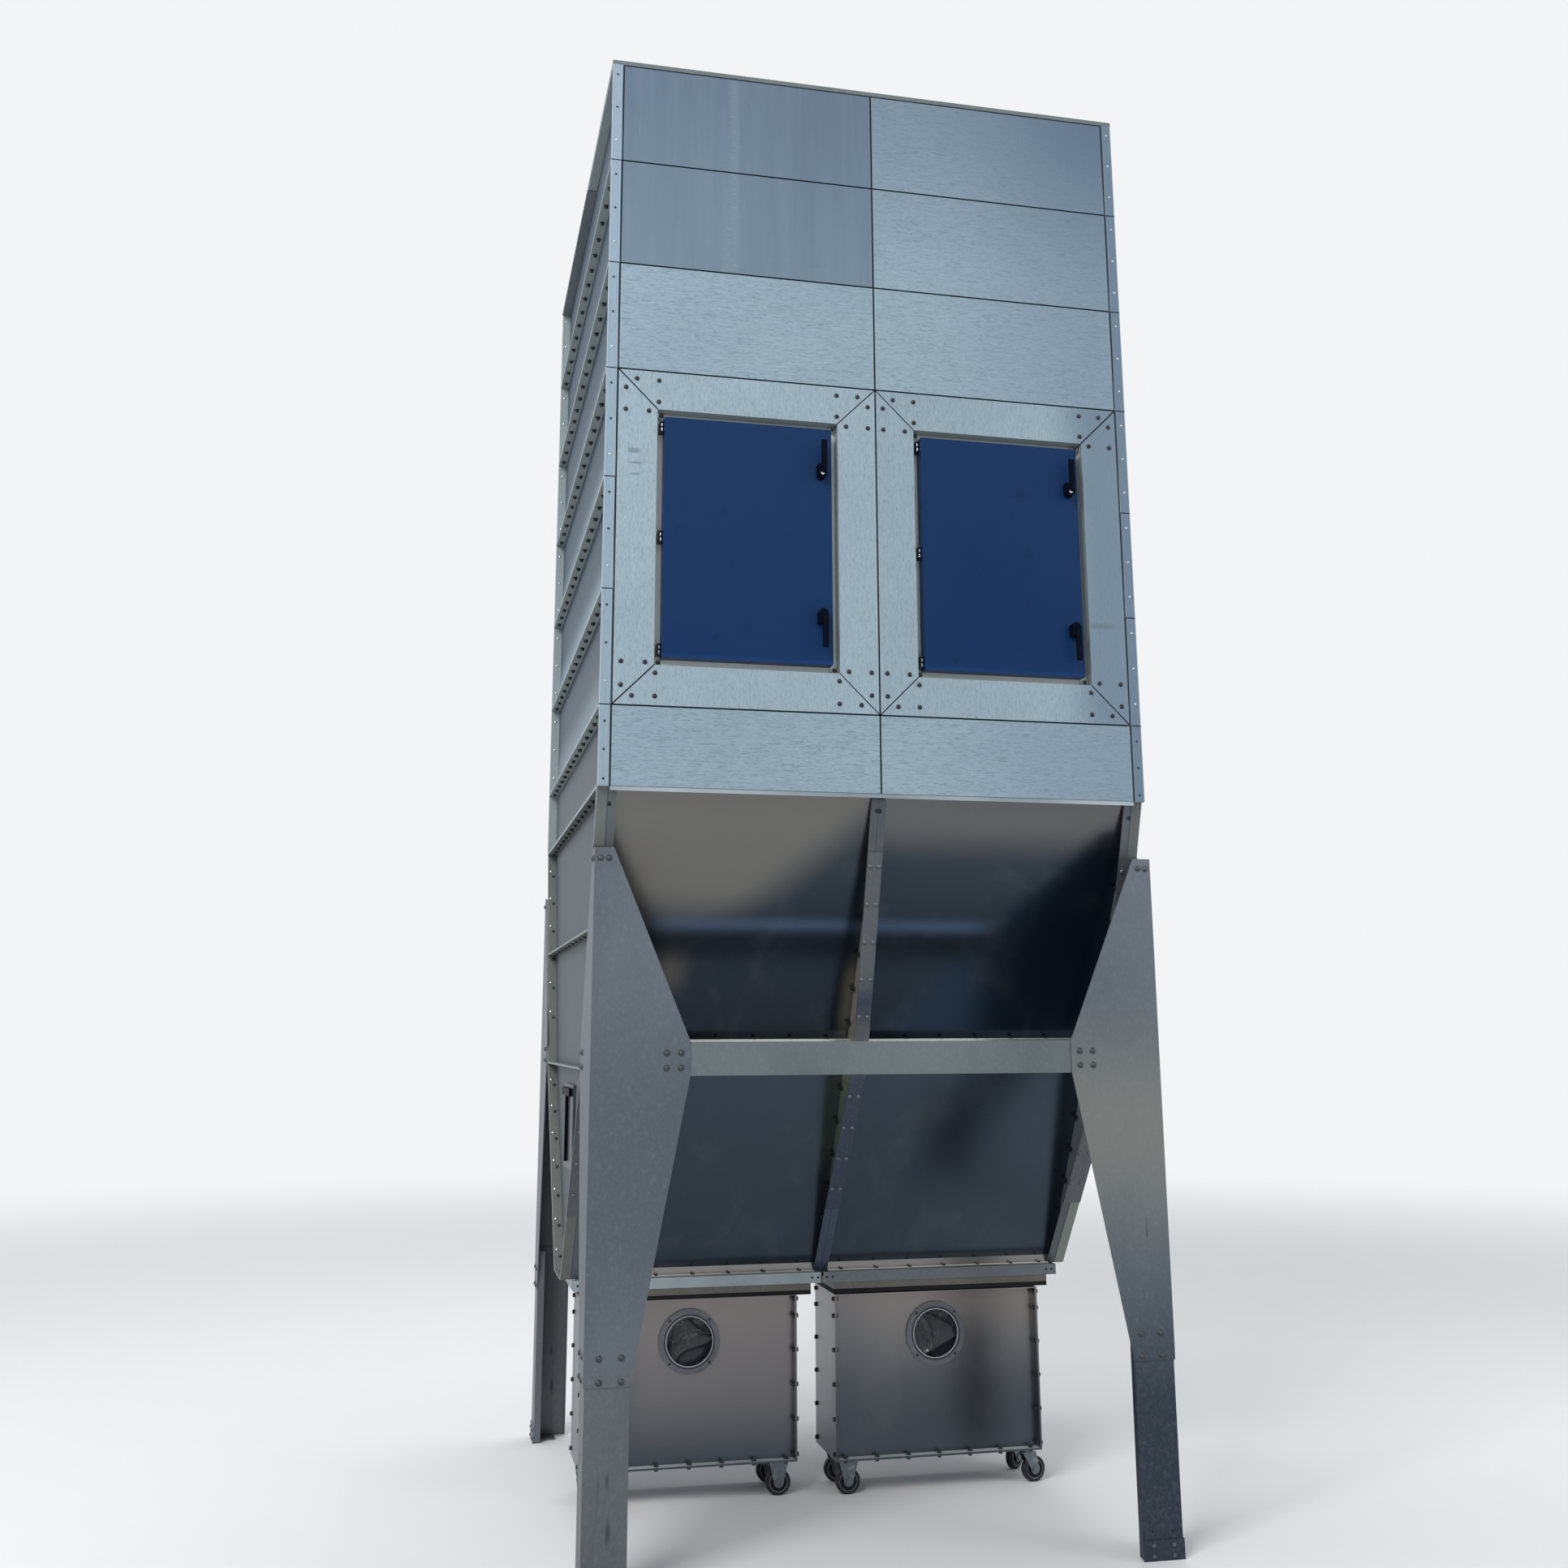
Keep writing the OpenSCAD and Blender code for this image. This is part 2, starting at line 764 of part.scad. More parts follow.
// open section with its two walls on the outside and a lip on each free edge
module lower_legs() {
    h = bracket_low_z + leg_overlap - base_t - seat;
    color("#7a8087")
        mirror_x() mirror_y()
            translate([-half_w, -half_d, base_t + seat])
                difference() {
                    cube([leg_w, leg_w, h]);
                    translate([sheet, sheet, -cut])
                        cube([leg_w - 2 * sheet, leg_w - 2 * sheet, h + 2 * cut]);
                    translate([leg_lip, leg_lip, -cut]) cube([leg_w, leg_w, h + 2 * cut]);
                }
}

// base with an anchor hole and two walls that stand outside the leg
module foot_shoes() {
    o = sheet + seat;
    s = leg_w + o;
    color("#6d7379")
        mirror_x() mirror_y()
            translate([-half_w - o, -half_d - o, 0])
                difference() {
                    cube([s, s, foot_h]);
                    translate([sheet, sheet, base_t]) cube([s, s, foot_h]);
                    translate([o + leg_w / 2, o + leg_w / 2, -cut])
                        cylinder(r = anchor_r, h = base_t + 2 * cut);
                }
}

module crossbars() {
    x1 = half_w - wing_mid + bar_overlap;
    color("#7f8789")
        mirror_y()
            translate([-x1, -half_d, bar_z])
                difference() {
                    cube([2 * x1, bar_d, bar_h]);
                    translate([-cut, sheet, sheet])
                        cube([2 * (x1 + cut), bar_d, bar_h - 2 * sheet]);
                }
}

// round duct connection on the right side
module spigot(r, y, z) {
    translate([inner_w + seat, y, z]) rotate([0, 90, 0])
        difference() {
            union() {
                cylinder(r = r, h = spigot_l);
                cylinder(r = r + spigot_flange, h = sheet);
            }
            translate([0, 0, -cut]) cylinder(r = r - sheet, h = spigot_l + 2 * cut);
        }
}

module air_inlet() {
    color("#9aa4aa") spigot(inlet_r, inlet_y, inlet_z);
}

module clean_air_outlet() {
    color("#9aa4aa") spigot(outlet_r, outlet_y, doors_z + row_h / 2);
}

// x of a caster in its bin; the fixed casters are at the bin's inner end, on the side inner
function caster_at(sx, inner) = sx * (bin_w / 2 - (sx == inner ? fixed_x : caster_x));

// bin of bolted sheets with its caster plates, its middle at x = 0 and y = 0
module bin_sheets(inner) {
    h = bin_top_z - bin_z;
    y0 = -bin_d / 2;
    wz = bin_z + window_up;
    translate([-bin_w / 2, y0, bin_z]) cube([bin_w, bin_d, sheet]);
    mirror_x()
        translate([-bin_w / 2, y0, bin_z + sheet + seat]) cube([sheet, bin_d, h - sheet - seat]);
    translate([-bin_w / 2 + sheet + seat, bin_d / 2 - sheet, bin_z + sheet + seat])
        cube([bin_w - 2 * sheet - 2 * seat, sheet, h - sheet - seat]);
    difference() {
        translate([-bin_w / 2 + sheet + seat, y0, bin_z + sheet + seat])
            cube([bin_w - 2 * sheet - 2 * seat, bin_flange + sheet, h - sheet - seat]);
        translate([-bin_w / 2 + 2 * sheet + seat, y0 - cut, bin_z + 2 * sheet + seat])
            cube([bin_w - 4 * sheet - 2 * seat, bin_flange + cut, h - 3 * sheet - seat]);
        translate([0, y0 + bin_flange + sheet + cut, wz]) rotate([90, 0, 0])
            cylinder(r = glass_r, h = sheet + 2 * cut);
    }
    for (sx = [-1, 1])
        mirror_y()
            translate([caster_at(sx, inner) - plate_w / 2 + plate_trim / 2,
                       -bin_d / 2 + caster_y - plate_w / 2, bin_z - plate_h])
                cube([plate_w - plate_trim, plate_w, plate_h - seat]);
}

module window_ring() {
    translate([0, -bin_d / 2 + bin_flange - seat, bin_z + window_up]) rotate([90, 0, 0])
        difference() {
            cylinder(r = ring_r, h = ring_t);
            translate([0, 0, -cut]) cylinder(r = glass_r, h = ring_t + 2 * cut);
        }
}

module window_pane() {
    translate([0, -bin_d / 2 + bin_flange + sheet, bin_z + window_up]) rotate([90, 0, 0])
        cylinder(r = glass_r - seat, h = sheet);
}

module at_left_bin() {
    translate([-left_bin_x, left_bin_y, 0]) children();
}

module at_right_bin() {
    translate([right_bin_x, right_bin_y, 0]) children();
}

module left_bin_sheets() { color("#848a90") at_left_bin() bin_sheets(1); }
module left_window_ring() { color("#6c7076") at_left_bin() window_ring(); }
module left_window() { color("#c9d2d6") at_left_bin() window_pane(); }
module right_bin_sheets() { color("#848a90") at_right_bin() bin_sheets(-1); }
module right_window_ring() { color("#6c7076") at_right_bin() window_ring(); }
module right_window() { color("#c9d2d6") at_right_bin() window_pane(); }

// corners of a bin: 1 front left, 2 front right, 3 rear left, 4 rear right
module at_caster(i, inner) {
    sx = i % 2 == 1 ? -1 : 1;
    sy = i <= 2 ? -1 : 1;
    translate([caster_at(sx, inner), sy * (bin_d / 2 - caster_y), 0]) children();
}

// two fork plates with round ends, the top sheet between them and the capped axle
module fork_plates(half, z1, shift) {
    out = fork_in + fork_t;
    translate([-half, -out, z1 - fork_t]) cube([2 * half, 2 * out, fork_t]);
    mirror_y()
        along_y(-out, -fork_in)
            polygon([[-half, z1], [half, z1], [shift + fork_r - cut, wheel_r],
                     [shift, wheel_r - cut], [shift - fork_r + cut, wheel_r]]);
    translate([shift, 0, wheel_r]) rotate([90, 0, 0]) {
        for (y = [-out, fork_in]) translate([0, 0, y]) cylinder(r = fork_r, h = fork_t);
        for (y = [-out - cap_t, fork_in + cut])
            translate([0, 0, y]) cylinder(r = cap_r, h = fork_t + cap_t - cut);
        translate([0, 0, -out]) cylinder(r = axle_r, h = 2 * out);
    }
}

// swivel fork with its head, trailing towards +X
module fork() {
    zf = head_top_z - head_h;
    translate([0, 0, zf - fork_t / 2]) cylinder(r = head_r, h = head_h + fork_t / 2);
    fork_plates(swivel_half, zf, trail);
}

module fixed_fork() { fork_plates(fixed_half, bin_z - plate_h - seat, 0); }

// half of the wheel's outline, seen along the axle
module wheel_profile() {
    hub = axle_r + axle_gap + hub_wall;
    rim = wheel_r * rim_part;
    polygon([[axle_r + axle_gap, -wheel_t / 2], [hub, -wheel_t / 2],
             [hub, -wheel_t / 2 + rim_set], [rim, -wheel_t / 2 + rim_set],
             [rim, -wheel_t / 2], [wheel_r - tread_edge, -wheel_t / 2],
             [wheel_r, -wheel_t / 2 + tread_edge], [wheel_r, wheel_t / 2 - tread_edge],
             [wheel_r - tread_edge, wheel_t / 2], [rim, wheel_t / 2],
             [rim, wheel_t / 2 - rim_set], [hub, wheel_t / 2 - rim_set],
             [hub, wheel_t / 2], [axle_r + axle_gap, wheel_t / 2]]);
}

module wheel() {
    translate([0, 0, wheel_r]) rotate([90, 0, 0]) rotate_extrude() wheel_profile();
}

module at_left(i) {
    at_left_bin() at_caster(i, 1) children();
}

module at_right(i) {
    at_right_bin() at_caster(i, -1) children();
}

module left_turned(i) {
    at_left(i) mirror([1, 0, 0]) rotate([0, 0, i == 1 ? left_front_turn : left_rear_turn])
        children();
}

module right_turned(i) {
    at_right(i) rotate([0, 0, i == 2 ? right_front_turn : right_rear_turn]) children();
}

module left_fixed_forks() {
    color("#b6bcc0")
        for (i = [2, 4]) at_left(i) fixed_fork();
}

module right_fixed_forks() {
    color("#b6bcc0")
        for (i = [1, 3]) at_right(i) fixed_fork();
}

module left_fork(i) { color("#b6bcc0") left_turned(i) fork(); }
module right_fork(i) { color("#b6bcc0") right_turned(i) fork(); }
module left_swivel_wheel(i) { color("#26282b") left_turned(i) translate([trail, 0, 0]) wheel(); }
module right_swivel_wheel(i) { color("#26282b") right_turned(i) translate([trail, 0, 0]) wheel(); }
module left_fixed_wheel(i) { color("#26282b") at_left(i) wheel(); }
module right_fixed_wheel(i) { color("#26282b") at_right(i) wheel(); }

front_panels();
door_frames();
door_rims();
access_doors();
door_handles();
door_hinges();
left_wall_panels();
right_wall_panels();
rear_wall_panels();
roof_panel();
left_hopper_side();
right_hopper_side();
hopper_plates();
hopper_divider();
cover_strips();
top_angles();
outlet_rails();
outlet_collars();
outlet_gaskets();
inspection_hatch();
hatch_clamp();
leg_brackets();
lower_legs();
foot_shoes();
crossbars();
air_inlet();
clean_air_outlet();
left_bin_sheets();
left_window_ring();
left_window();
right_bin_sheets();
right_window_ring();
right_window();
left_fixed_forks();
right_fixed_forks();
left_fork(1);  // left_fork_1
left_fork(3);  // left_fork_3
right_fork(2);  // right_fork_2
right_fork(4);  // right_fork_4
left_swivel_wheel(1);  // left_wheel_1
left_fixed_wheel(2);  // left_wheel_2
left_swivel_wheel(3);  // left_wheel_3
left_fixed_wheel(4);  // left_wheel_4
right_fixed_wheel(1);  // right_wheel_1
right_swivel_wheel(2);  // right_wheel_2
right_fixed_wheel(3);  // right_wheel_3
right_swivel_wheel(4);  // right_wheel_4
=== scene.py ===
"""Studio scene of a modular bag filter: camera, light, fasteners, trim and finishes."""

import logging
import math
from dataclasses import dataclass, field
from enum import Enum
from typing import Any, Mapping, Sequence, Union

import bpy
import numpy as np
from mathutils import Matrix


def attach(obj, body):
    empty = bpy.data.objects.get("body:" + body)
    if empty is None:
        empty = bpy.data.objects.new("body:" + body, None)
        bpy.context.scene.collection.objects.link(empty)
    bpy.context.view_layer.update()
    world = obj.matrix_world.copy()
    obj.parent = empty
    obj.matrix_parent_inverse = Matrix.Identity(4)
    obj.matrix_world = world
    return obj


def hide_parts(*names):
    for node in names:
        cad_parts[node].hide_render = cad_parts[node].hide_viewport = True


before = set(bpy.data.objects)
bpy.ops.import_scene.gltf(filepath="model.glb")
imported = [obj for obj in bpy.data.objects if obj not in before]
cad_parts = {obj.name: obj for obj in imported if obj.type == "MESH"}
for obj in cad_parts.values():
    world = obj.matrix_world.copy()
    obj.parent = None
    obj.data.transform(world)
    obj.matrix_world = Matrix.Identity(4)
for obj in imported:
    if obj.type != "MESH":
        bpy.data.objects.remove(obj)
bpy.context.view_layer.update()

LOG = logging.getLogger("dust_collector")
HOUSING = "dust_collector"
TAU = 2.0 * math.pi
Colour = tuple[float, float, float]
Point = tuple[float, float, float]
Pair = tuple[float, float]
Number = Union[int, float]
SQUARE_ON = 0.7  # a face counts as turned to an axis where it faces it by more than this share


def linear(red: int, green: int, blue: int) -> Colour:
    """Turns screen colour numbers from 0 to 255 into linear light.

    Args:
        red: Red on the screen.
        green: Green on the screen.
        blue: Blue on the screen.

    Returns:
        The colour that a shader socket takes.
    """
    parts = [c / 255.0 for c in (red, green, blue)]
    return tuple(c / 12.92 if c <= 0.04045 else ((c + 0.055) / 1.055) ** 2.4 for c in parts)


class Signal:
    """A shader value that takes Python's operators, each of which adds a Math node."""

    def __init__(self, tree: "Tree", socket: bpy.types.NodeSocket) -> None:
        """Keeps the socket and the tree that it belongs to."""
        self.tree = tree
        self.socket = socket

    def math(self, operation: str, *others: "Signal | Number", swap: bool = False) -> "Signal":
        """Adds one Math node.

        Args:
            operation: The Math node's operation.
            others: The further operands.
            swap: Puts this value second instead of first.

        Returns:
            The result.
        """
        operands = [self, *others]
        if swap:
            operands.reverse()
        settings = {"operation": operation}
        return self.tree.signal("ShaderNodeMath", settings, dict(enumerate(operands)))

    def __add__(self, other: "Signal | Number") -> "Signal":
        """Sum."""
        return self.math("ADD", other)

    def __mul__(self, other: "Signal | Number") -> "Signal":
        """Product."""
        return self.math("MULTIPLY", other)

    def __sub__(self, other: "Signal | Number") -> "Signal":
        """Difference."""
        return self.math("SUBTRACT", other)

    def __rsub__(self, other: "Signal | Number") -> "Signal":
        """Difference with this value second."""
        return self.math("SUBTRACT", other, swap=True)

    def __truediv__(self, other: "Signal | Number") -> "Signal":
        """Quotient."""
        return self.math("DIVIDE", other)

    def __gt__(self, other: "Signal | Number") -> "Signal":
        """1 where this value is the larger one."""
        return self.math("GREATER_THAN", other)

    def __lt__(self, other: "Signal | Number") -> "Signal":
        """1 where this value is the smaller one."""
        return self.math("LESS_THAN", other)

    def floor(self) -> "Signal":
        """Rounds down."""
        return self.math("FLOOR")

    def size(self) -> "Signal":
        """Drops the sign."""
        return self.math("ABSOLUTE")

    def ramp(self, start: float, end: float) -> "Signal":
        """Runs smoothly from 0 at start to 1 at end.

        Args:
            start: Where the result is 0.
            end: Where the result is 1.

        Returns:
            The result, kept between 0 and 1.
        """
        settings = {"interpolation_type": "SMOOTHSTEP"}
        values = {0: self, 1: start, 2: end, 3: 0.0, 4: 1.0}
        return self.tree.signal("ShaderNodeMapRange", settings, values)

    def beside(self, start: float, step: float) -> "Signal":
        """Distance to the nearest of the evenly spaced values start + n * step."""
        turns = (self - start) / step
        return ((turns - (turns + 0.5).floor()) * step).size()


Source = Union[Signal, Number, Colour, bpy.types.NodeSocket]


class Tree:
    """A node tree whose nodes are all added by one method."""

    def __init__(self, nodes: bpy.types.NodeTree) -> None:
        """Empties the tree.

        Args:
            nodes: A material's or the world's tree.
        """
        self.tree = nodes
        self.tree.nodes.clear()
        coordinates = self.tree.nodes.new("ShaderNodeTexCoord")
        self.place = coordinates.outputs["Object"]
        self.normal = coordinates.outputs["Normal"]

    def node(
        self, kind: str, settings: Mapping[str, Any], values: Mapping[int | str, Source]
    ) -> bpy.types.Node:
        """Adds a node, sets it, and then fills its sockets.

        Args:
            kind: The node's type.
            settings: Its settings; "stops" are a colour ramp's positions and colours.
            values: A value or a link for each socket, by number or name.

        Returns:
            The node.
        """
        node = self.tree.nodes.new(kind)
        for key, setting in settings.items():
            if key == "stops":
                elements = node.color_ramp.elements
                while len(elements) < len(setting):
                    elements.new(0.5)
                for element, (position, colour) in zip(elements, setting):
                    element.position = position
                    element.color = (*colour, 1.0)
            else:
                setattr(node, key, setting)
        for key, value in values.items():
            self.feed(node.inputs[key], value)
        return node

    def feed(self, socket: bpy.types.NodeSocket, value: Source) -> None:
        """Links or sets one socket.

        Args:
            socket: The input to fill.
            value: A signal, a socket, a number or a colour.
        """
        if isinstance(value, Signal):
            value = value.socket
        if isinstance(value, bpy.types.NodeSocket):
            self.tree.links.new(value, socket)
        elif isinstance(value, (tuple, list)) and socket.type == "RGBA":
            socket.default_value = (*value[:3], 1.0)
        else:
            socket.default_value = value

    def signal(
        self, kind: str, settings: Mapping[str, Any], values: Mapping[int | str, Source],
        output: int | str = 0,
    ) -> Signal:
        """Adds a node and takes one of its outputs as a value."""
        return Signal(self, self.node(kind, settings, values).outputs[output])

    def axes(self) -> tuple[Signal, Signal, Signal]:
        """Gives X, Y and Z of the model's frame as values, in metres."""
        node = self.node("ShaderNodeSeparateXYZ", {}, {0: self.place})
        return tuple(Signal(self, output) for output in node.outputs)

    def facing(self, axis: int) -> Signal:
        """Gives how far the surface faces along an axis of the model, from -1 to 1."""
        node = self.node("ShaderNodeSeparateXYZ", {}, {0: self.normal})
        return Signal(self, node.outputs[axis])

    def noise(
        self, stretch: Sequence[float], detail: float = 3.0, roughness: float = 0.5,
        distortion: float = 0.0, shift: float = 0.0,
    ) -> Signal:
        """Cloud noise on model coordinates.

        Args:
            stretch: Waves per metre along X, Y and Z.
            detail: Octaves of finer noise.
            roughness: Strength of the finer noise.
            distortion: How far the pattern swirls.
            shift: Distance by which the pattern is moved, so that two noises differ.

        Returns:
            The noise, from 0 to 1 with a mean of about 0.5.
        """
        mapped = self.node(
            "ShaderNodeMapping", {},
            {"Vector": self.place, "Location": (shift, shift, shift), "Scale": tuple(stretch)},
        )
        values = {
            "Vector": mapped.outputs[0], "Scale": 1.0, "Detail": detail,
            "Roughness": roughness, "Distortion": distortion,
        }
        return self.signal("ShaderNodeTexNoise", {}, values)

    def chance(self, *cells: Signal) -> Signal:
        """Gives each cell of a grid its own random number.

        Args:
            cells: One, two or three whole numbers that name the cell.

        Returns:
            A number from 0 to 1.
        """
        joined = self.node("ShaderNodeCombineXYZ", {}, dict(enumerate(cells)))
        values = {"Vector": joined.outputs[0]}
        return self.signal("ShaderNodeTexWhiteNoise", {"noise_dimensions": "3D"}, values)

    def stops(
        self, value: Signal, colours: Sequence[tuple[float, Colour]]
    ) -> bpy.types.NodeSocket:
        """Runs through a row of colours.

        Args:
            value: Position from 0 to 1.
            colours: Position and colour of each stop.

        Returns:
            The colour's socket.
        """
        return self.node("ShaderNodeValToRGB", {"stops": colours}, {0: value}).outputs[0]

    def mix(self, share: Source, first: Source, second: Source) -> bpy.types.NodeSocket:
        """Mixes two colours.

        Args:
            share: Share of the second colour.
            first: The first colour.
            second: The second colour.

        Returns:
            The mixed colour's socket.
        """
        settings = {"data_type": "RGBA", "clamp_factor": True}
        return self.node("ShaderNodeMix", settings, {0: share, 6: first, 7: second}).outputs[2]


class Shader(Tree):
    """A node material with one Principled surface."""

    def __init__(self, name: str) -> None:
        """Starts a material.

        Args:
            name: The material's name.
        """
        self.material = bpy.data.materials.new(name)
        self.material.use_nodes = True
        super().__init__(self.material.node_tree)
        self.surface = self.node("ShaderNodeBsdfPrincipled", {}, {})
        self.output = self.node("ShaderNodeOutputMaterial", {}, {0: self.surface.outputs[0]})

    def bump(self, height: Signal, strength: float, distance: float) -> None:
        """Lets a height pattern tilt the surface.

        Args:
            height: The pattern, from 0 to 1.
            strength: Share of the full effect.
            distance: Height of the pattern, in metres.
        """
        values = {"Height": height, "Strength": strength, "Distance": distance}
        node = self.node("ShaderNodeBump", {}, values)
        self.feed(self.surface.inputs["Normal"], node.outputs[0])

    def set(self, **values: Source) -> bpy.types.Material:
        """Fills the surface's sockets; an underscore stands for a space.

        Args:
            values: A value for each socket.

        Returns:
            The finished material.
        """
        for key, value in values.items():
            self.feed(self.surface.inputs[key.replace("_", " ")], value)
        return self.material


@dataclass(frozen=True)
class Patch:
    """Soft-edged area of another tone: a stain, or painted light: a cloudy reflection, shadow or
    highlight in the zinc.
    """

    colour: Colour
    x: Pair = (-5.0, 5.0)
    y: Pair = (-5.0, 5.0)
    z: Pair = (-5.0, 5.0)
    soft: Pair = (0.04, 0.04)
    lean: float = 0.0
    share: float = 1.0
    far: float = 5.0

    def over(self, shader: Shader, below: Source) -> Source:
        """Lays the patch over a colour.

        Along each axis the mask is one smooth rise at the low side and one smooth fall at the
        high side. A side that lies as far out as "far" has no edge. X moves with height by
        "lean", so that an upright edge slants.

        Args:
            shader: The material.
            below: The colour under the patch.

        Returns:
            The colour with the patch.
        """
        x, y, z = shader.axes()
        sides = ((x + z * self.lean, self.x, self.soft[0]), (y, self.y, self.soft[0]),
                 (z, self.z, self.soft[1]))
        mask: Source = self.share
        for value, (low, high), soft in sides:
            if low > -self.far:
                mask = value.ramp(low - soft, low + soft) * mask
            if high < self.far:
                mask = value.ramp(high + soft, high - soft) * mask
        return shader.mix(mask, below, self.colour)


def layered(shader: Shader, below: Source, patches: Sequence[Patch]) -> Source:
    """Lays patches over a colour in order.

    Args:
        shader: The material.
        below: The colour under them.
        patches: The patches.

    Returns:
        The colour with all patches.
    """
    for patch in patches:
        below = patch.over(shader, below)
    return below


class Grain(Enum):
    """Direction of the rolled sheet's fine wavelets, as waves per metre along X, Y and Z."""

    ACROSS = (36.0, 36.0, 250.0)
    UPRIGHT = (250.0, 250.0, 50.0)


@dataclass(frozen=True)
class PanelZinc:
    """Galvanised sheet with fine wavelets, a tone of its own for each panel, and smudges; some get
    painted shade.
    """

    name: str
    slot: str
    light: Colour
    dark: Colour
    grain: Grain
    row: float = 0.35
    row_start: float = 2.39
    column: float = 0.85
    roughness: float = 0.4
    wave: float = 0.5
    stroke: float = 0.26
    aged_and_shaded: bool = False
    mitred: bool = False
    seam: float = 0.0026
    side_seam: float = 0.0016
    side_shift: float = 0.0006
    head_seam: float = 0.0022
    mitre_seam: float = 0.0024
    unit_w: float = 0.8137
    unit_h: float = 1.05
    border: float = 0.124
    fold: float = 0.9215
    head: float = 4.4735
    aged_from: float = 3.79
    aged_tones: tuple[Colour, Colour] = (linear(114, 134, 148), linear(96, 112, 130))
    dash_tone: Colour = linear(134, 150, 160)
    stroke_tone: Colour = linear(92, 110, 122)
    shade_tone: Colour = linear(96, 114, 133)
    smudge_tone: Colour = linear(92, 98, 100)
    scratch_tone: Colour = linear(206, 214, 218)
    seam_tone: Colour = linear(30, 36, 44)
    patches: tuple[Patch, ...] = ()

    def seams(self, x: Signal, y: Signal, z: Signal) -> Signal:
        """Gives the dark joint lines on the front and rear faces.

        A mitre runs where the distances from the nearest side and the nearest end of a door
        unit are the same, out to the width of its frame pieces.

        Args:
            x: Distance to the right of the middle.
            y: Distance behind the middle.
            z: Height.

        Returns:
            1 on a line and 0 beside it.
        """
        across = x.size()
        lines = (across - self.unit_w + self.side_shift).size() < self.side_seam
        lines = lines + (z.beside(self.row_start, self.row) < self.seam)
        lines = lines + (across < self.seam) + ((z - self.head).size() < self.head_seam)
        if self.mitred:
            side = across.math("MINIMUM", self.unit_w - across)
            rise = z - self.row_start
            end = rise.math("MINIMUM", self.unit_h - rise)
            lines = lines + ((side - end).size() < self.mitre_seam) * (side < self.border)
        return lines * (y.size() > self.fold)

    def aged(self, shader: Shader, x: Signal, z: Signal) -> tuple[Signal, bpy.types.NodeSocket]:
        """Gives the mask and colour of the two smooth, darker panels at the upper left.

        Args:
            shader: The material.
            x: Distance to the right of the middle.
            z: Height.

        Returns:
            The mask and the colour.
        """
        bands = shader.noise((16.0, 16.0, 1.1), 3.0, 0.6, 0.0, 5.3)
        dashes = shader.noise((50.0, 50.0, 130.0), 2.0, 0.5, 0.0, 6.1).ramp(0.56, 0.66)
        columns = shader.noise((9.0, 9.0, 0.3), 2.0, 0.5, 0.0, 8.3).ramp(0.5, 0.62)
        # painted shade: the aged panels darken towards the top
        painted_top_shade = z.ramp(3.7, 4.55)
        tone = bands * 1.2 + painted_top_shade * 0.5 - 0.35
        colour = shader.mix(tone, *self.aged_tones)
        colour = shader.mix(columns * (dashes * 0.4 + 0.3), colour, self.dash_tone)
        return (x < 0.0) * (z > self.aged_from), colour

    def make(self) -> bpy.types.Material:
        """Builds the material.

        Returns:
            The material.
        """
        shader = Shader(self.name)
        x, y, z = shader.axes()
        waves = shader.noise(self.grain.value, 2.0, 0.55, 1.2)
        clouds = shader.noise((1.3, 1.3, 1.7), 3.0, 0.55)
        cell = shader.chance(((x + 8.5) / self.column).floor(),
                             ((z - self.row_start) / self.row).floor(),
                             ((y + 8.0) / 8.0).floor())
        smudge = shader.noise((9.0, 9.0, 12.0), 5.0, 0.65, 0.4, 3.1).ramp(0.62, 0.76)
        scratches = shader.noise((260.0, 260.0, 7.0), 2.0, 0.5, 0.0, 1.7).ramp(0.71, 0.8)
        strokes = waves.ramp(0.45, 0.36)
        tone = (waves - 0.5) * 0.9 + clouds * 0.5 + cell * 0.25 + 0.12
        colour = shader.mix(tone, self.dark, self.light)
        colour = shader.mix(strokes * self.stroke, colour, self.stroke_tone)
        rough = waves * 0.12 + clouds * 0.1 + (self.roughness - 0.1)
        height = waves
        if self.aged_and_shaded:
            # painted shade: darker towards the top and towards the right
            shade = z.ramp(3.6, 4.6) * 0.6 + x.ramp(0.1, 0.85) * 0.45
            colour = shader.mix(shade, colour, self.shade_tone)
            mask, plain = self.aged(shader, x, z)
            colour = shader.mix(mask, colour, plain)
            height = waves * (1.0 - mask * 0.85)
        colour = shader.mix(smudge * 0.2, colour, self.smudge_tone)
        colour = shader.mix(scratches * 0.2, colour, self.scratch_tone)
        colour = layered(shader, colour, self.patches)
        colour = shader.mix(self.seams(x, y, z), colour, self.seam_tone)
        shader.bump(height, self.wave, 0.0014)
        return shader.set(Base_Color=colour, Metallic=0.6, Roughness=rough)


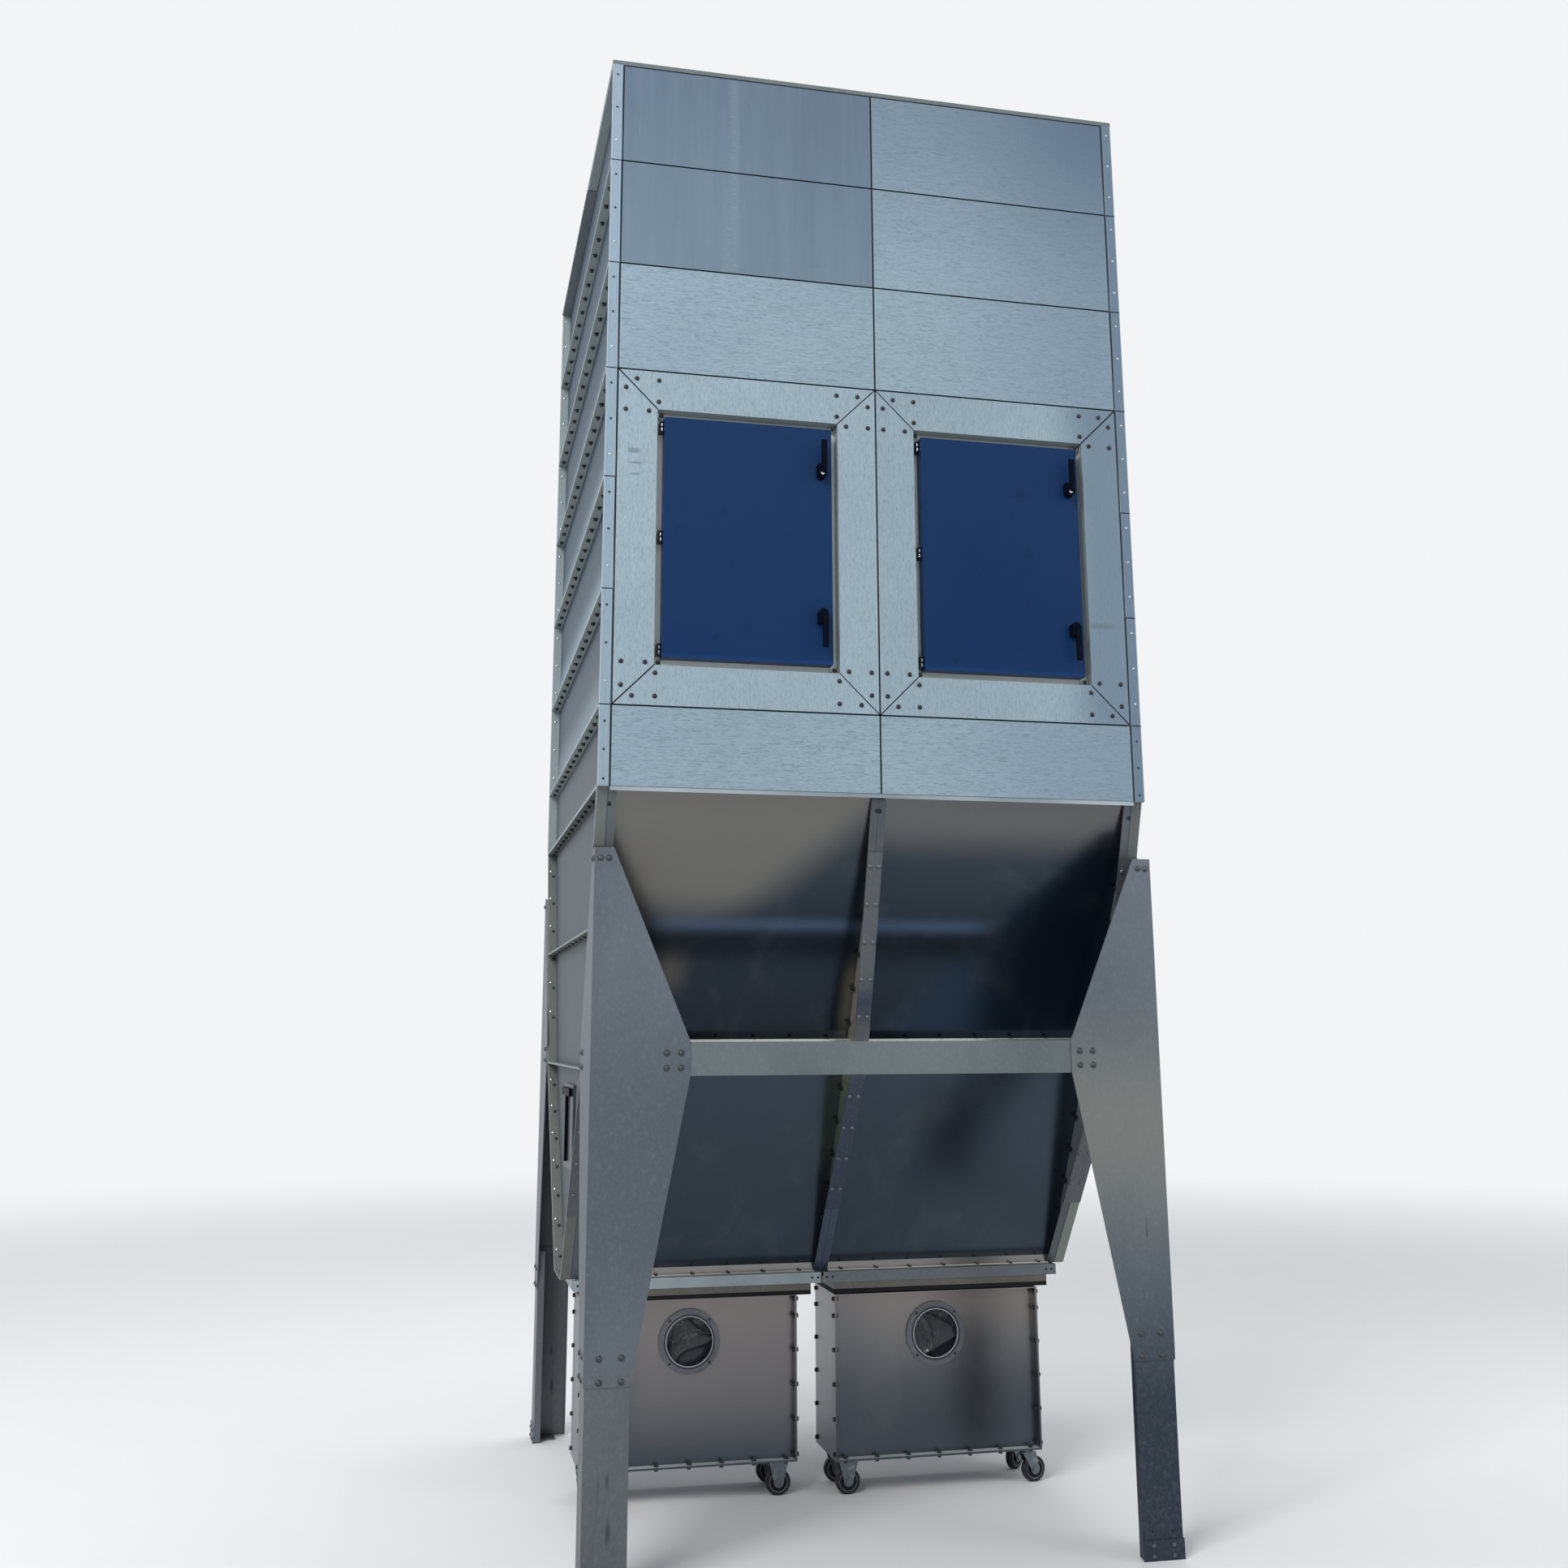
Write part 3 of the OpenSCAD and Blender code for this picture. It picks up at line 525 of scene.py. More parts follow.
@dataclass(frozen=True)
class ShinyZinc:
    """Smooth sheet that mirrors softly, with a run of colours over its height; the hopper's run is
    a painted reflection.
    """

    name: str
    slot: str
    low: float
    high: float
    colours: tuple[tuple[float, Colour], ...]
    roughness: float = 0.24
    metallic: float = 0.8
    sway: float = 0.25
    painted_ledge_light: Colour = (0.46, 0.49, 0.48)
    film_tone: Colour = linear(150, 150, 146)
    patches: tuple[Patch, ...] = ()

    def make(self) -> bpy.types.Material:
        """Builds the material; a level face that looks up is a pale, dull ledge, brightened as
        painted light.

        Returns:
            The material.
        """
        shader = Shader(self.name)
        _, _, z = shader.axes()
        clouds = shader.noise((0.9, 0.9, 1.3), 2.0, 0.5)
        film = shader.noise((6.0, 6.0, 3.0), 4.0, 0.6, 0.8, 2.3)
        rolling = shader.noise((3.0, 3.0, 240.0), 2.0, 0.5)
        height = (z - self.low) / (self.high - self.low) + (clouds - 0.5) * self.sway
        colour = layered(shader, shader.stops(height, self.colours), self.patches)
        colour = shader.mix(film.ramp(0.5, 0.8) * 0.08, colour, self.film_tone)
        # painted light: faces that look up are made pale and dull
        upward = shader.facing(2) > SQUARE_ON
        colour = shader.mix(upward, colour, self.painted_ledge_light)
        rough = film * 0.1 + clouds * 0.06 + (self.roughness - 0.08)
        shader.bump(rolling, 0.06, 0.0006)
        metallic = self.metallic - upward * self.metallic
        return shader.set(Base_Color=colour, Metallic=metallic, Roughness=rough)


@dataclass(frozen=True)
class TrayZinc:
    """Side wall trays: mirror-like sheets, duller bolting flanges and pale front strips."""

    name: str
    slot: str
    sheet: Colour
    flange: Colour
    strip_high: Colour
    strip_low: Colour
    seam_step: float = 0.35
    seam_start: float = 2.39
    seam: float = 0.0018
    front: float = 0.9215
    rear: float = 0.9235
    edge: float = 0.8176
    outer: float = 0.8484
    side: float = 0.8155
    side_seam: float = 0.0014
    cloud_tone: Colour = linear(116, 128, 138)
    strip_shade: Colour = linear(98, 116, 133)
    fold_tone: Colour = linear(98, 108, 116)
    foot_tone: Colour = linear(112, 114, 112)
    rim_tone: Colour = linear(126, 130, 126)
    edge_highlight_tone: Colour = linear(190, 199, 202)
    seam_tone: Colour = linear(30, 34, 40)
    # colour of the painted light at the foot of each row
    glow: Colour | None = None
    patches: tuple[Patch, ...] = ()

    def make(self) -> bpy.types.Material:
        """Builds the material.

        A tray with a glow has painted light, lighter towards the foot of each row, and the lowest
        rows are greyer.

        Returns:
            The material.
        """
        shader = Shader(self.name)
        x, y, z = shader.axes()
        clouds = shader.noise((1.3, 1.3, 1.8), 3.0, 0.5)
        fine = shader.noise((90.0, 90.0, 60.0), 3.0, 0.6, 0.3, 2.1)
        folds = shader.noise((420.0, 420.0, 3.0), 2.0, 0.5, 0.0, 4.3).ramp(0.55, 0.7)
        rim = x.size() > self.edge
        strip = rim * ((y < -self.front) + (y > self.rear))
        strip_colour = shader.mix(z.ramp(2.2, 4.4), self.strip_low, self.strip_high)
        # painted shade: the right-hand front strips darker
        strip_colour = shader.mix((x > 0.0) * 0.8, strip_colour, self.strip_shade)
        streaks = folds * 0.3 + (fine - 0.5) * 0.5
        strip_colour = shader.mix(streaks, strip_colour, self.fold_tone)
        colour = shader.mix(clouds * 0.4, self.sheet, self.cloud_tone)
        if self.glow:
            # painted light: each row lighter towards its foot
            row = (z - self.seam_start) / self.seam_step
            colour = shader.mix((row - row.floor()).ramp(0.6, 0.0), colour, self.glow)
            colour = shader.mix(z.ramp(2.9, 2.2) * 0.6, colour, self.foot_tone)
        colour = shader.mix(rim, colour, shader.mix(fine * 0.6, self.flange, self.rim_tone))
        colour = shader.mix(strip, colour, strip_colour)
        # painted highlight along the outer edges of the flanges
        colour = shader.mix((x.size() > self.outer) * 0.8, colour, self.edge_highlight_tone)
        colour = layered(shader, colour, self.patches)
        seam = (z.beside(self.seam_start, self.seam_step) < self.seam) * strip
        side = ((x.size() - self.side).size() < self.side_seam) * (y.size() > self.front)
        colour = shader.mix(seam + side, colour, self.seam_tone)
        rough = fine * 0.1 + clouds * 0.1 + rim * 0.1 + 0.36
        shader.bump(fine, 0.05, 0.0005)
        return shader.set(Base_Color=colour, Metallic=0.4 - rim * 0.15, Roughness=rough,
                          Specular_IOR_Level=0.15, Specular_Tint=(0.45, 0.5, 0.55))


@dataclass(frozen=True)
class PlateSteel:
    """Thick galvanised plate of the frame: dull, clouded, with dirt near the floor."""

    name: str
    slot: str
    light: Colour
    dark: Colour
    roughness: float = 0.46
    dirt: float = 0.5
    clouding: float = 1.1
    metallic: float = 0.5
    painted_flank_light: tuple[Colour, Colour] | None = None
    flank_span: Pair = (1.2, 1.5)
    grooves: tuple[Point, ...] = ()
    groove_fade: Pair = (0.0024, 0.0012)
    fleck_tone: Colour = linear(170, 175, 180)
    dirt_tone: Colour = linear(52, 48, 46)
    groove_shade_tone: Colour = linear(16, 19, 24)
    patches: tuple[Patch, ...] = ()

    def make(self) -> bpy.types.Material:
        """Builds the material.

        The flank's two colours are painted light on faces turned to X, below and above the flank's
        span. A groove is a dark circle of painted shade, given as its middle's X and Z and its
        radius.

        Returns:
            The material.
        """
        shader = Shader(self.name)
        x, _, z = shader.axes()
        clouds = shader.noise((2.0, 2.0, self.clouding), 4.0, 0.6)
        fine = shader.noise((60.0, 60.0, 45.0), 3.0, 0.6, 0.3, 1.9)
        runs = shader.noise((34.0, 34.0, 3.4), 4.0, 0.6, 0.5, 4.7).ramp(0.6, 0.74)
        low = 1.0 - z.ramp(0.0, 0.55)
        colour = shader.mix(clouds.ramp(0.3, 0.7), self.dark, self.light)
        colour = layered(shader, colour, self.patches)
        if self.painted_flank_light:
            # painted light: faces turned to X get the flank colours
            painted_flank_light = shader.mix(z.ramp(*self.flank_span), *self.painted_flank_light)
            colour = shader.mix(shader.facing(0).size() > SQUARE_ON, colour, painted_flank_light)
        colour = shader.mix((fine - 0.5).size() * 0.3, colour, self.fleck_tone)
        colour = shader.mix(runs * low * self.dirt, colour, self.dirt_tone)
        for across, up, radius in self.grooves:
            # painted shade: a dark circle in each groove of the window rings
            beside, above = x - across, z - up
            off = ((beside * beside + above * above).math("SQRT") - radius).size()
            colour = shader.mix(off.ramp(*self.groove_fade), colour, self.groove_shade_tone)
        shader.bump(fine, 0.12, 0.0006)
        rough = clouds * 0.14 + fine * 0.08 + (self.roughness - 0.1)
        return shader.set(Base_Color=colour, Metallic=self.metallic, Roughness=rough)


@dataclass(frozen=True)
class DoorLacquer:
    """Deep blue lacquer on the doors, with a faint orange peel, hand marks, and painted light and
    shade.
    """

    name: str
    slot: str
    colour: Colour
    shaded_colour: Colour
    foot_tone: Colour = linear(16, 58, 112)
    lit_edge_span: Pair = (2.552, 2.546)
    mark_tone: Colour = linear(8, 24, 50)

    def make(self) -> bpy.types.Material:
        """Builds the material; the doors' lower edge gets a little painted light.

        Returns:
            The material.
        """
        shader = Shader(self.name)
        x, _, z = shader.axes()
        clouds = shader.noise((3.0, 3.0, 2.6), 3.0, 0.5)
        marks = shader.noise((15.0, 15.0, 13.0), 4.0, 0.6, 0.4, 2.7).ramp(0.6, 0.78)
        peel = shader.noise((420.0, 420.0, 420.0), 2.0, 0.5)
        # painted light and shade: lighter towards the top, darker towards the right
        share = z.ramp(2.45, 3.35) * 0.6 + clouds * 0.5 - x.ramp(-0.15, 0.3) * 0.35
        tint = shader.mix(share, self.shaded_colour, self.colour)
        # painted light along the doors' lower edge
        tint = shader.mix(z.ramp(*self.lit_edge_span) * 0.45, tint, self.foot_tone)
        tint = shader.mix(marks * 0.35, tint, self.mark_tone)
        shader.bump(peel, 0.08, 0.0004)
        return shader.set(
            Base_Color=tint, Metallic=0.0, Roughness=marks * 0.15 + clouds * 0.08 + 0.32,
            Specular_IOR_Level=0.14,
        )


@dataclass(frozen=True)
class Moulding:
    """Rubber, plastic or plain metal of small parts, with fine grain and rubbed spots."""

    name: str
    slot: str
    colour: Colour
    worn: Colour
    roughness: float = 0.5
    metallic: float = 0.0
    grain: float = 500.0
    gloss: float = 0.4

    def make(self) -> bpy.types.Material:
        """Builds the material.

        Returns:
            The material.
        """
        shader = Shader(self.name)
        fine = shader.noise((self.grain,) * 3, 2.0, 0.6)
        rubbed = shader.noise((38.0, 38.0, 38.0), 4.0, 0.6, 0.2, 1.1).ramp(0.52, 0.74)
        colour = shader.mix(rubbed * 0.5 + (fine - 0.5).size() * 0.2, self.colour, self.worn)
        shader.bump(fine, 0.12, 0.0003)
        rough = rubbed * 0.12 + fine * 0.08 + (self.roughness - 0.06)
        return shader.set(
            Base_Color=colour, Metallic=self.metallic, Roughness=rough,
            Specular_IOR_Level=self.gloss,
        )


@dataclass(frozen=True)
class WindowPlastic:
    """Clear plastic of the bins' sight windows, faintly scuffed."""

    name: str
    slot: str
    colour: Colour = (0.05, 0.06, 0.07)

    def make(self) -> bpy.types.Material:
        """Builds the material.

        Returns:
            The material.
        """
        shader = Shader(self.name)
        scuffs = shader.noise((150.0, 150.0, 30.0), 4.0, 0.6, 0.4).ramp(0.5, 0.75)
        return shader.set(
            Base_Color=self.colour, Roughness=scuffs * 0.12 + 0.06,
            Alpha=scuffs * 0.06 + 0.08, Specular_IOR_Level=0.3,
        )


@dataclass(frozen=True)
class BagFilm:
    """Crumpled clear dust bag behind a window, dark, with painted highlights on its folds and a
    painted milky sheen.
    """

    name: str
    slot: str
    dark: Colour = linear(15, 20, 30)
    milky_sheen: Colour = linear(60, 57, 58)
    fold_tone: Colour = linear(120, 122, 126)
    span: Pair = (0.44, 0.53)

    def make(self) -> bpy.types.Material:
        """Builds the material; the film's painted milky sheen grows towards the window's top.

        Returns:
            The material.
        """
        shader = Shader(self.name)
        _, _, z = shader.axes()
        # painted sheen: milky clouds, stronger towards the window's top
        milk_and_sheen = shader.noise((11.0, 11.0, 8.0), 3.0, 0.5, 1.1) + (z.ramp(*self.span) - 0.6) * 0.25
        folds = (shader.noise((13.0, 13.0, 19.0), 1.0, 0.4, 1.6, 3.7) - 0.5).size()
        colour = shader.mix(milk_and_sheen.ramp(0.48, 0.72), self.dark, self.milky_sheen)
        # painted highlights along thin fold lines
        fold_highlight_share = folds.ramp(0.014, 0.002) * milk_and_sheen.ramp(0.4, 0.6)
        colour = shader.mix(fold_highlight_share, colour, self.fold_tone)
        return shader.set(Base_Color=colour, Roughness=milk_and_sheen * 0.15 + 0.2, Coat_Weight=0.3)


def tone(red: int, green: int, blue: int, **area: Any) -> Patch:
    """Gives a patch of a screen colour.

    Args:
        red: Red on the screen.
        green: Green on the screen.
        blue: Blue on the screen.
        area: The patch's further fields.

    Returns:
        The patch.
    """
    return Patch(linear(red, green, blue), **area)


# A run lists positions over a sheet's height, from 0 to 1, with their colours. Tones are soft
# areas that are laid over it in order; their x, y and z are from low to high, in metres.
# painted reflection: the hopper plates' run of colours mirrors the surroundings
PLATE_PAINTED_REFLECTION = (
    (0.0, linear(61, 72, 83)), (0.50, linear(64, 76, 88)), (0.509, linear(32, 41, 50)),
    (0.62, linear(38, 48, 60)), (0.74, linear(40, 52, 63)), (0.85, linear(50, 60, 69)),
    (1.0, linear(62, 68, 74)),
)
# painted reflections, shadow and highlights on the hopper plates
PLATE_PAINTED_LIGHT = (
    tone(112, 110, 107, x=(-5.0, -2.71), z=(1.80, 2.3), soft=(0.14, 0.09), lean=-1.286),
    tone(100, 100, 101, x=(0.003, 0.9), z=(2.02, 2.3), soft=(0.001, 0.07)),
    tone(112, 106, 95, x=(-0.62, -0.55), z=(1.59, 1.69), soft=(0.05, 0.06), share=0.65),
    # painted shadow falling diagonally across the plates
    tone(34, 52, 72, x=(-1.48, 0.9), z=(1.434, 2.1), soft=(0.09, 0.05), lean=-1.08, share=0.8),
    tone(82, 102, 130, x=(-0.66, 0.40), z=(1.757, 1.788), soft=(0.08, 0.022), share=0.7),
    tone(24, 33, 42, x=(0.28, 0.46), z=(0.98, 1.26), soft=(0.08, 0.1), share=0.5),
    # painted highlight on the front edge of the middle flanges
    tone(224, 234, 226, z=(1.4262, 1.4338), soft=(0.04, 0.0002)),
    # painted light beside the divider web, warm above and greenish below
    tone(138, 134, 122, x=(-0.04, 0.0), z=(1.47, 1.66), soft=(0.02, 0.05), share=0.65),
    tone(92, 104, 96, x=(-0.05, 0.0), z=(1.06, 1.4), soft=(0.025, 0.06), share=0.75),
    # painted light on the lip ledge at the plates' foot
    tone(131, 130, 127, z=(0.5, 0.7155), soft=(0.04, 0.001)),
)
BIN_RUN = (
    (0.0, linear(80, 88, 98)), (0.45, linear(98, 102, 108)), (0.75, linear(118, 116, 116)),
    (1.0, linear(134, 127, 124)),
)
BIN_TONES = (
    tone(70, 76, 84, x=(0.02, 0.9), z=(0.118, 0.34), soft=(0.01, 0.17), share=0.8),
    tone(46, 52, 60, x=(0.48, 0.58), z=(0.118, 0.5), soft=(0.09, 0.12), share=0.85),
    tone(80, 86, 94, x=(-5.0, 0.16), z=(0.118, 0.7), soft=(0.09, 0.02), share=0.3),
    tone(136, 128, 126, x=(-0.62, 0.0), z=(0.22, 0.7), soft=(0.08, 0.12), share=0.45),
)
LEG_TONES = (
    tone(66, 76, 86, x=(-1.0, 0.0), z=(0.7, 1.45), soft=(0.01, 0.25), share=0.6),
    tone(120, 122, 116, x=(0.0, 1.0), z=(0.95, 1.4), soft=(0.01, 0.2), share=0.75),
    # painted shade: the right leg darker near the floor
    tone(22, 36, 52, x=(0.0, 1.0), z=(-1.0, 0.62), soft=(0.01, 0.25), share=0.88),
    tone(84, 86, 82, x=(-1.0, 0.0), z=(-1.0, 0.55), soft=(0.01, 0.1), share=0.45),
    # painted light: the rear legs lighter
    tone(106, 112, 116, y=(0.3, 1.0), soft=(0.02, 0.1), share=0.8),
    tone(44, 46, 48, x=(-0.785, -0.774), z=(0.15, 0.19), soft=(0.004, 0.02), share=0.8),
    tone(44, 46, 48, x=(-0.789, -0.780), z=(0.28, 0.31), soft=(0.004, 0.015), share=0.7),
    tone(50, 54, 58, x=(0.782, 0.786), z=(0.86, 0.92), soft=(0.002, 0.02), share=0.6),
)
FRAME_TONES = (
    # painted shade: the frames darker towards the right
    tone(102, 120, 136, x=(0.64, 0.9), soft=(0.1, 0.1), share=0.85),
    # painted light: the inner walls of the door openings brightened against the shade of their
    # recess
    tone(196, 204, 200, y=(-0.9212, 0.9212), soft=(0.0004, 0.1), share=0.8),
    tone(84, 92, 96, x=(-0.777, -0.745), z=(3.17, 3.185), soft=(0.01, 0.003), share=0.5),
    tone(84, 92, 96, x=(-0.775, -0.74), z=(3.135, 3.142), soft=(0.008, 0.002), share=0.5),
    tone(84, 92, 96, x=(-0.77, -0.742), z=(3.10, 3.106), soft=(0.008, 0.002), share=0.5),
    tone(88, 96, 98, x=(0.70, 0.775), z=(2.70, 2.715), soft=(0.02, 0.006), share=0.5),
)
HOPPER_SIDE_TONES = (
    tone(114, 118, 112, x=(-5.0, -0.8176), z=(0.6, 2.1), soft=(0.0004, 0.02), share=0.5),
    tone(140, 146, 138, x=(0.8176, 5.0), z=(0.6, 1.32), soft=(0.0004, 0.03), share=0.7),
)
STRIP_TONES = (
    tone(50, 62, 82, x=(-0.05, 0.05), z=(0.5, 1.33), soft=(0.01, 0.03), share=0.85),
    tone(52, 66, 90, x=(-0.05, 0.05), z=(1.51, 1.575), soft=(0.01, 0.035), share=0.75),
)
WEB_TONES = (tone(66, 78, 100, z=(0.5, 1.36), soft=(0.01, 0.06), share=0.8),)
RAIL_TONES = (tone(84, 90, 95, x=(0.0, 1.0), soft=(0.02, 0.1), share=0.85),)


def sheet_finishes() -> list[Any]:
    """Gives the finishes of the house's, hopper's and bins' folded sheets.

    Returns:
        The finishes, not yet made.
    """
    panels, hopper = "galvanised_panels", "galvanised_hopper"
    return [
        # the front panels get painted shade, darker towards the top and the right
        PanelZinc("panel_zinc", panels, linear(160, 180, 191), linear(118, 138, 151),
                  Grain.ACROSS, aged_and_shaded=True),
        PanelZinc("frame_zinc", panels, linear(162, 180, 189), linear(121, 140, 153),
                  Grain.UPRIGHT, row=1.05, wave=0.4, stroke=0.16, mitred=True,
                  patches=FRAME_TONES),
        # painted light on the wall trays, lighter towards the foot of each row
        TrayZinc("wall_zinc", panels, linear(74, 88, 102), linear(152, 164, 166),
                 linear(144, 162, 176), linear(140, 158, 170), glow=linear(174, 196, 210)),
        TrayZinc("hopper_side_zinc", hopper, linear(88, 92, 93), linear(88, 93, 96),
                 linear(104, 106, 108), linear(104, 106, 108), 0.4, 1.35, front=5.0, rear=5.002,
                 patches=HOPPER_SIDE_TONES),
        # painted reflections and shade on the hopper plates, and painted light on their ledges
        ShinyZinc("hopper_zinc", hopper, 0.70, 2.15, PLATE_PAINTED_REFLECTION, patches=PLATE_PAINTED_LIGHT, sway=0.1,
                  painted_ledge_light=(0.98, 0.93, 0.84)),
        ShinyZinc("bin_zinc", hopper, 0.11, 0.62, BIN_RUN, roughness=0.3, sway=0.35,
                  patches=BIN_TONES),
    ]


def plate_finishes() -> list[Any]:
    """Gives the finishes of plates, strips, rails, rims and the roof.

    Returns:
        The finishes, not yet made.
    """
    panels, hopper, bright, dull = (
        "galvanised_panels", "galvanised_hopper", "bright_zinc", "dull_zinc")
    return [
        PlateSteel("leg_zinc", dull, linear(96, 104, 112), linear(78, 86, 94),
                   patches=LEG_TONES),
        PlateSteel("bar_zinc", dull, linear(102, 112, 115), linear(88, 98, 102), 0.42, 0.0),
        PlateSteel("strip_zinc", hopper, linear(92, 96, 100), linear(72, 78, 84), 0.4, 0.0,
                   patches=STRIP_TONES),
        # painted light on the divider's faces turned to X, greenish below and warm above
        PlateSteel("web_zinc", hopper, linear(88, 92, 96), linear(70, 76, 82), 0.4, 0.0,
                   painted_flank_light=(linear(84, 96, 84), linear(136, 130, 117)), patches=WEB_TONES),
        PlateSteel("hatch_zinc", hopper, linear(62, 70, 78), linear(50, 56, 64), 0.4, 0.0),
        # painted shade in the grooves of the window rings
        PlateSteel("ring_zinc", dull, linear(96, 99, 104), linear(80, 84, 89), 0.3, 0.0, 6.0,
                   grooves=((-0.425, 0.481, 0.0815), (0.393, 0.481, 0.0815))),
        PlateSteel("trim_zinc", bright, linear(164, 174, 180), linear(128, 140, 147), 0.38, 0.2),
        PlateSteel("rail_zinc", bright, linear(160, 170, 176), linear(128, 140, 147), 0.38, 0.2,
                   patches=RAIL_TONES),
        PlateSteel("collar_zinc", hopper, linear(104, 100, 92), linear(82, 80, 76), 0.4, 0.2),
        PlateSteel("roof_zinc", panels, linear(102, 112, 114), linear(92, 102, 104), 0.42, 0.0,
                   metallic=0.2),
        # painted light: the recessed rims brightened against the shade of their recess
        PlateSteel("rim_zinc", bright, linear(226, 230, 226), linear(202, 208, 204), 0.42, 0.0,
                   metallic=0.15),
    ]


def small_finishes() -> list[Any]:
    """Gives the finishes of doors, handles, rubber, casters, fasteners, windows and bags.

    Returns:
        The finishes, not yet made.
    """
    bright, dull, black = "bright_zinc", "dull_zinc", "black_plastic"
    return [
        # the doors get painted light and shade, lighter at the top and darker to the right
        DoorLacquer("door_lacquer", "blue_paint", linear(20, 47, 84), linear(8, 43, 83)),
        Moulding("handle_plastic", black, linear(4, 9, 22), linear(12, 18, 34), gloss=0.04),
        Moulding("hinge_steel", "dark_hinge_steel", linear(22, 24, 28), linear(50, 52, 56), 0.4,
                 0.3),
        Moulding("gasket_rubber", "black_rubber", linear(14, 15, 17), linear(28, 28, 30), 0.7,
                 gloss=0.2),
        Moulding("tyre_rubber", "caster_tyre", linear(34, 37, 42), linear(62, 64, 68), 0.6,
                 gloss=0.2),
        Moulding("disc_plastic", black, linear(12, 13, 15), linear(30, 30, 33), gloss=0.2),
        Moulding("caster_zinc", bright, linear(104, 114, 120), linear(158, 166, 170), 0.3, 0.85),
        Moulding("lip_metal", bright, linear(176, 182, 188), linear(146, 152, 158), 0.3, 0.3),
        Moulding("frame_bolt", dull, linear(36, 41, 46), linear(78, 84, 88), 0.34, 0.5),
        Moulding("bright_bolt", bright, linear(204, 208, 210), linear(150, 154, 158), 0.2, 0.9),
        Moulding("dark_bolt", dull, linear(66, 72, 76), linear(112, 118, 120), 0.36, 0.6),
        Moulding("flange_bolt", dull, linear(50, 54, 52), linear(84, 88, 84), 0.4, 0.5),
        Moulding("plain_bolt", dull, linear(96, 102, 108), linear(72, 77, 83), 0.36, 0.6),
        Moulding("lock_metal", bright, linear(232, 234, 232), linear(196, 198, 198), 0.3, 0.25),
        WindowPlastic("window_plastic", "clear_plastic"),
        BagFilm("bag_film", "clear_plastic"),
    ]


class Finishes:
    """All finishes of the model, each made once and found by name."""

    def __init__(self) -> None:
        """Makes the finishes."""
        made = sheet_finishes() + plate_finishes() + small_finishes()
        self.slots = {finish.name: finish.slot for finish in made}
        self.materials = {finish.name: finish.make() for finish in made}

    def __getitem__(self, name: str) -> bpy.types.Material:
        """Gives the material of that name."""
        return self.materials[name]

    def dress(self, looks: Mapping[str, str]) -> None:
        """Gives CAD nodes their finishes.

        Args:
            looks: Finish name by node name.
        """
        for node, look in looks.items():
            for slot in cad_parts[node].material_slots:
                slot.material = self[look]
            LOG.info("%s: %s", node, look)

    def piece(
        self, name: str, points: np.ndarray, faces: Sequence[np.ndarray], look: str,
        body: str = HOUSING, sharp: float = 35.0,
    ) -> bpy.types.Object:
        """Puts computed arrays into a mesh object that rides on a body.

        Args:
            name: The piece's name.
            points: Points as an (n, 3) array, in metres.
            faces: Arrays of faces, each (m, k) with k corners a face.
            look: Name of the finish.
            body: The body that carries the piece.
            sharp: Angle in degrees past which an edge is drawn sharp.

        Returns:
            The object.
        """
        mesh = bpy.data.meshes.new(name)
        points = np.ascontiguousarray(points.reshape(-1, 3), dtype=np.float32)
        loops = np.concatenate([f.reshape(-1) for f in faces]).astype(np.int32)
        totals = np.concatenate([np.full(len(f), f.shape[1]) for f in faces]).astype(np.int32)
        starts = np.concatenate([[0], np.cumsum(totals)[:-1]]).astype(np.int32)
        mesh.vertices.add(len(points))
        mesh.vertices.foreach_set("co", points.reshape(-1))
        mesh.loops.add(len(loops))
        mesh.loops.foreach_set("vertex_index", loops)
        mesh.polygons.add(len(totals))
        mesh.polygons.foreach_set("loop_start", starts)
        mesh.polygons.foreach_set("loop_total", totals)
        mesh.update(calc_edges=True)
        mesh.validate()
        mesh.polygons.foreach_set("use_smooth", np.ones(len(mesh.polygons), dtype=bool))
        mesh.set_sharp_from_angle(angle=math.radians(sharp))
        piece = bpy.data.objects.new(name, mesh)
        bpy.context.scene.collection.objects.link(piece)
        mesh.materials.append(self[look])
        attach(piece, body)
        return piece


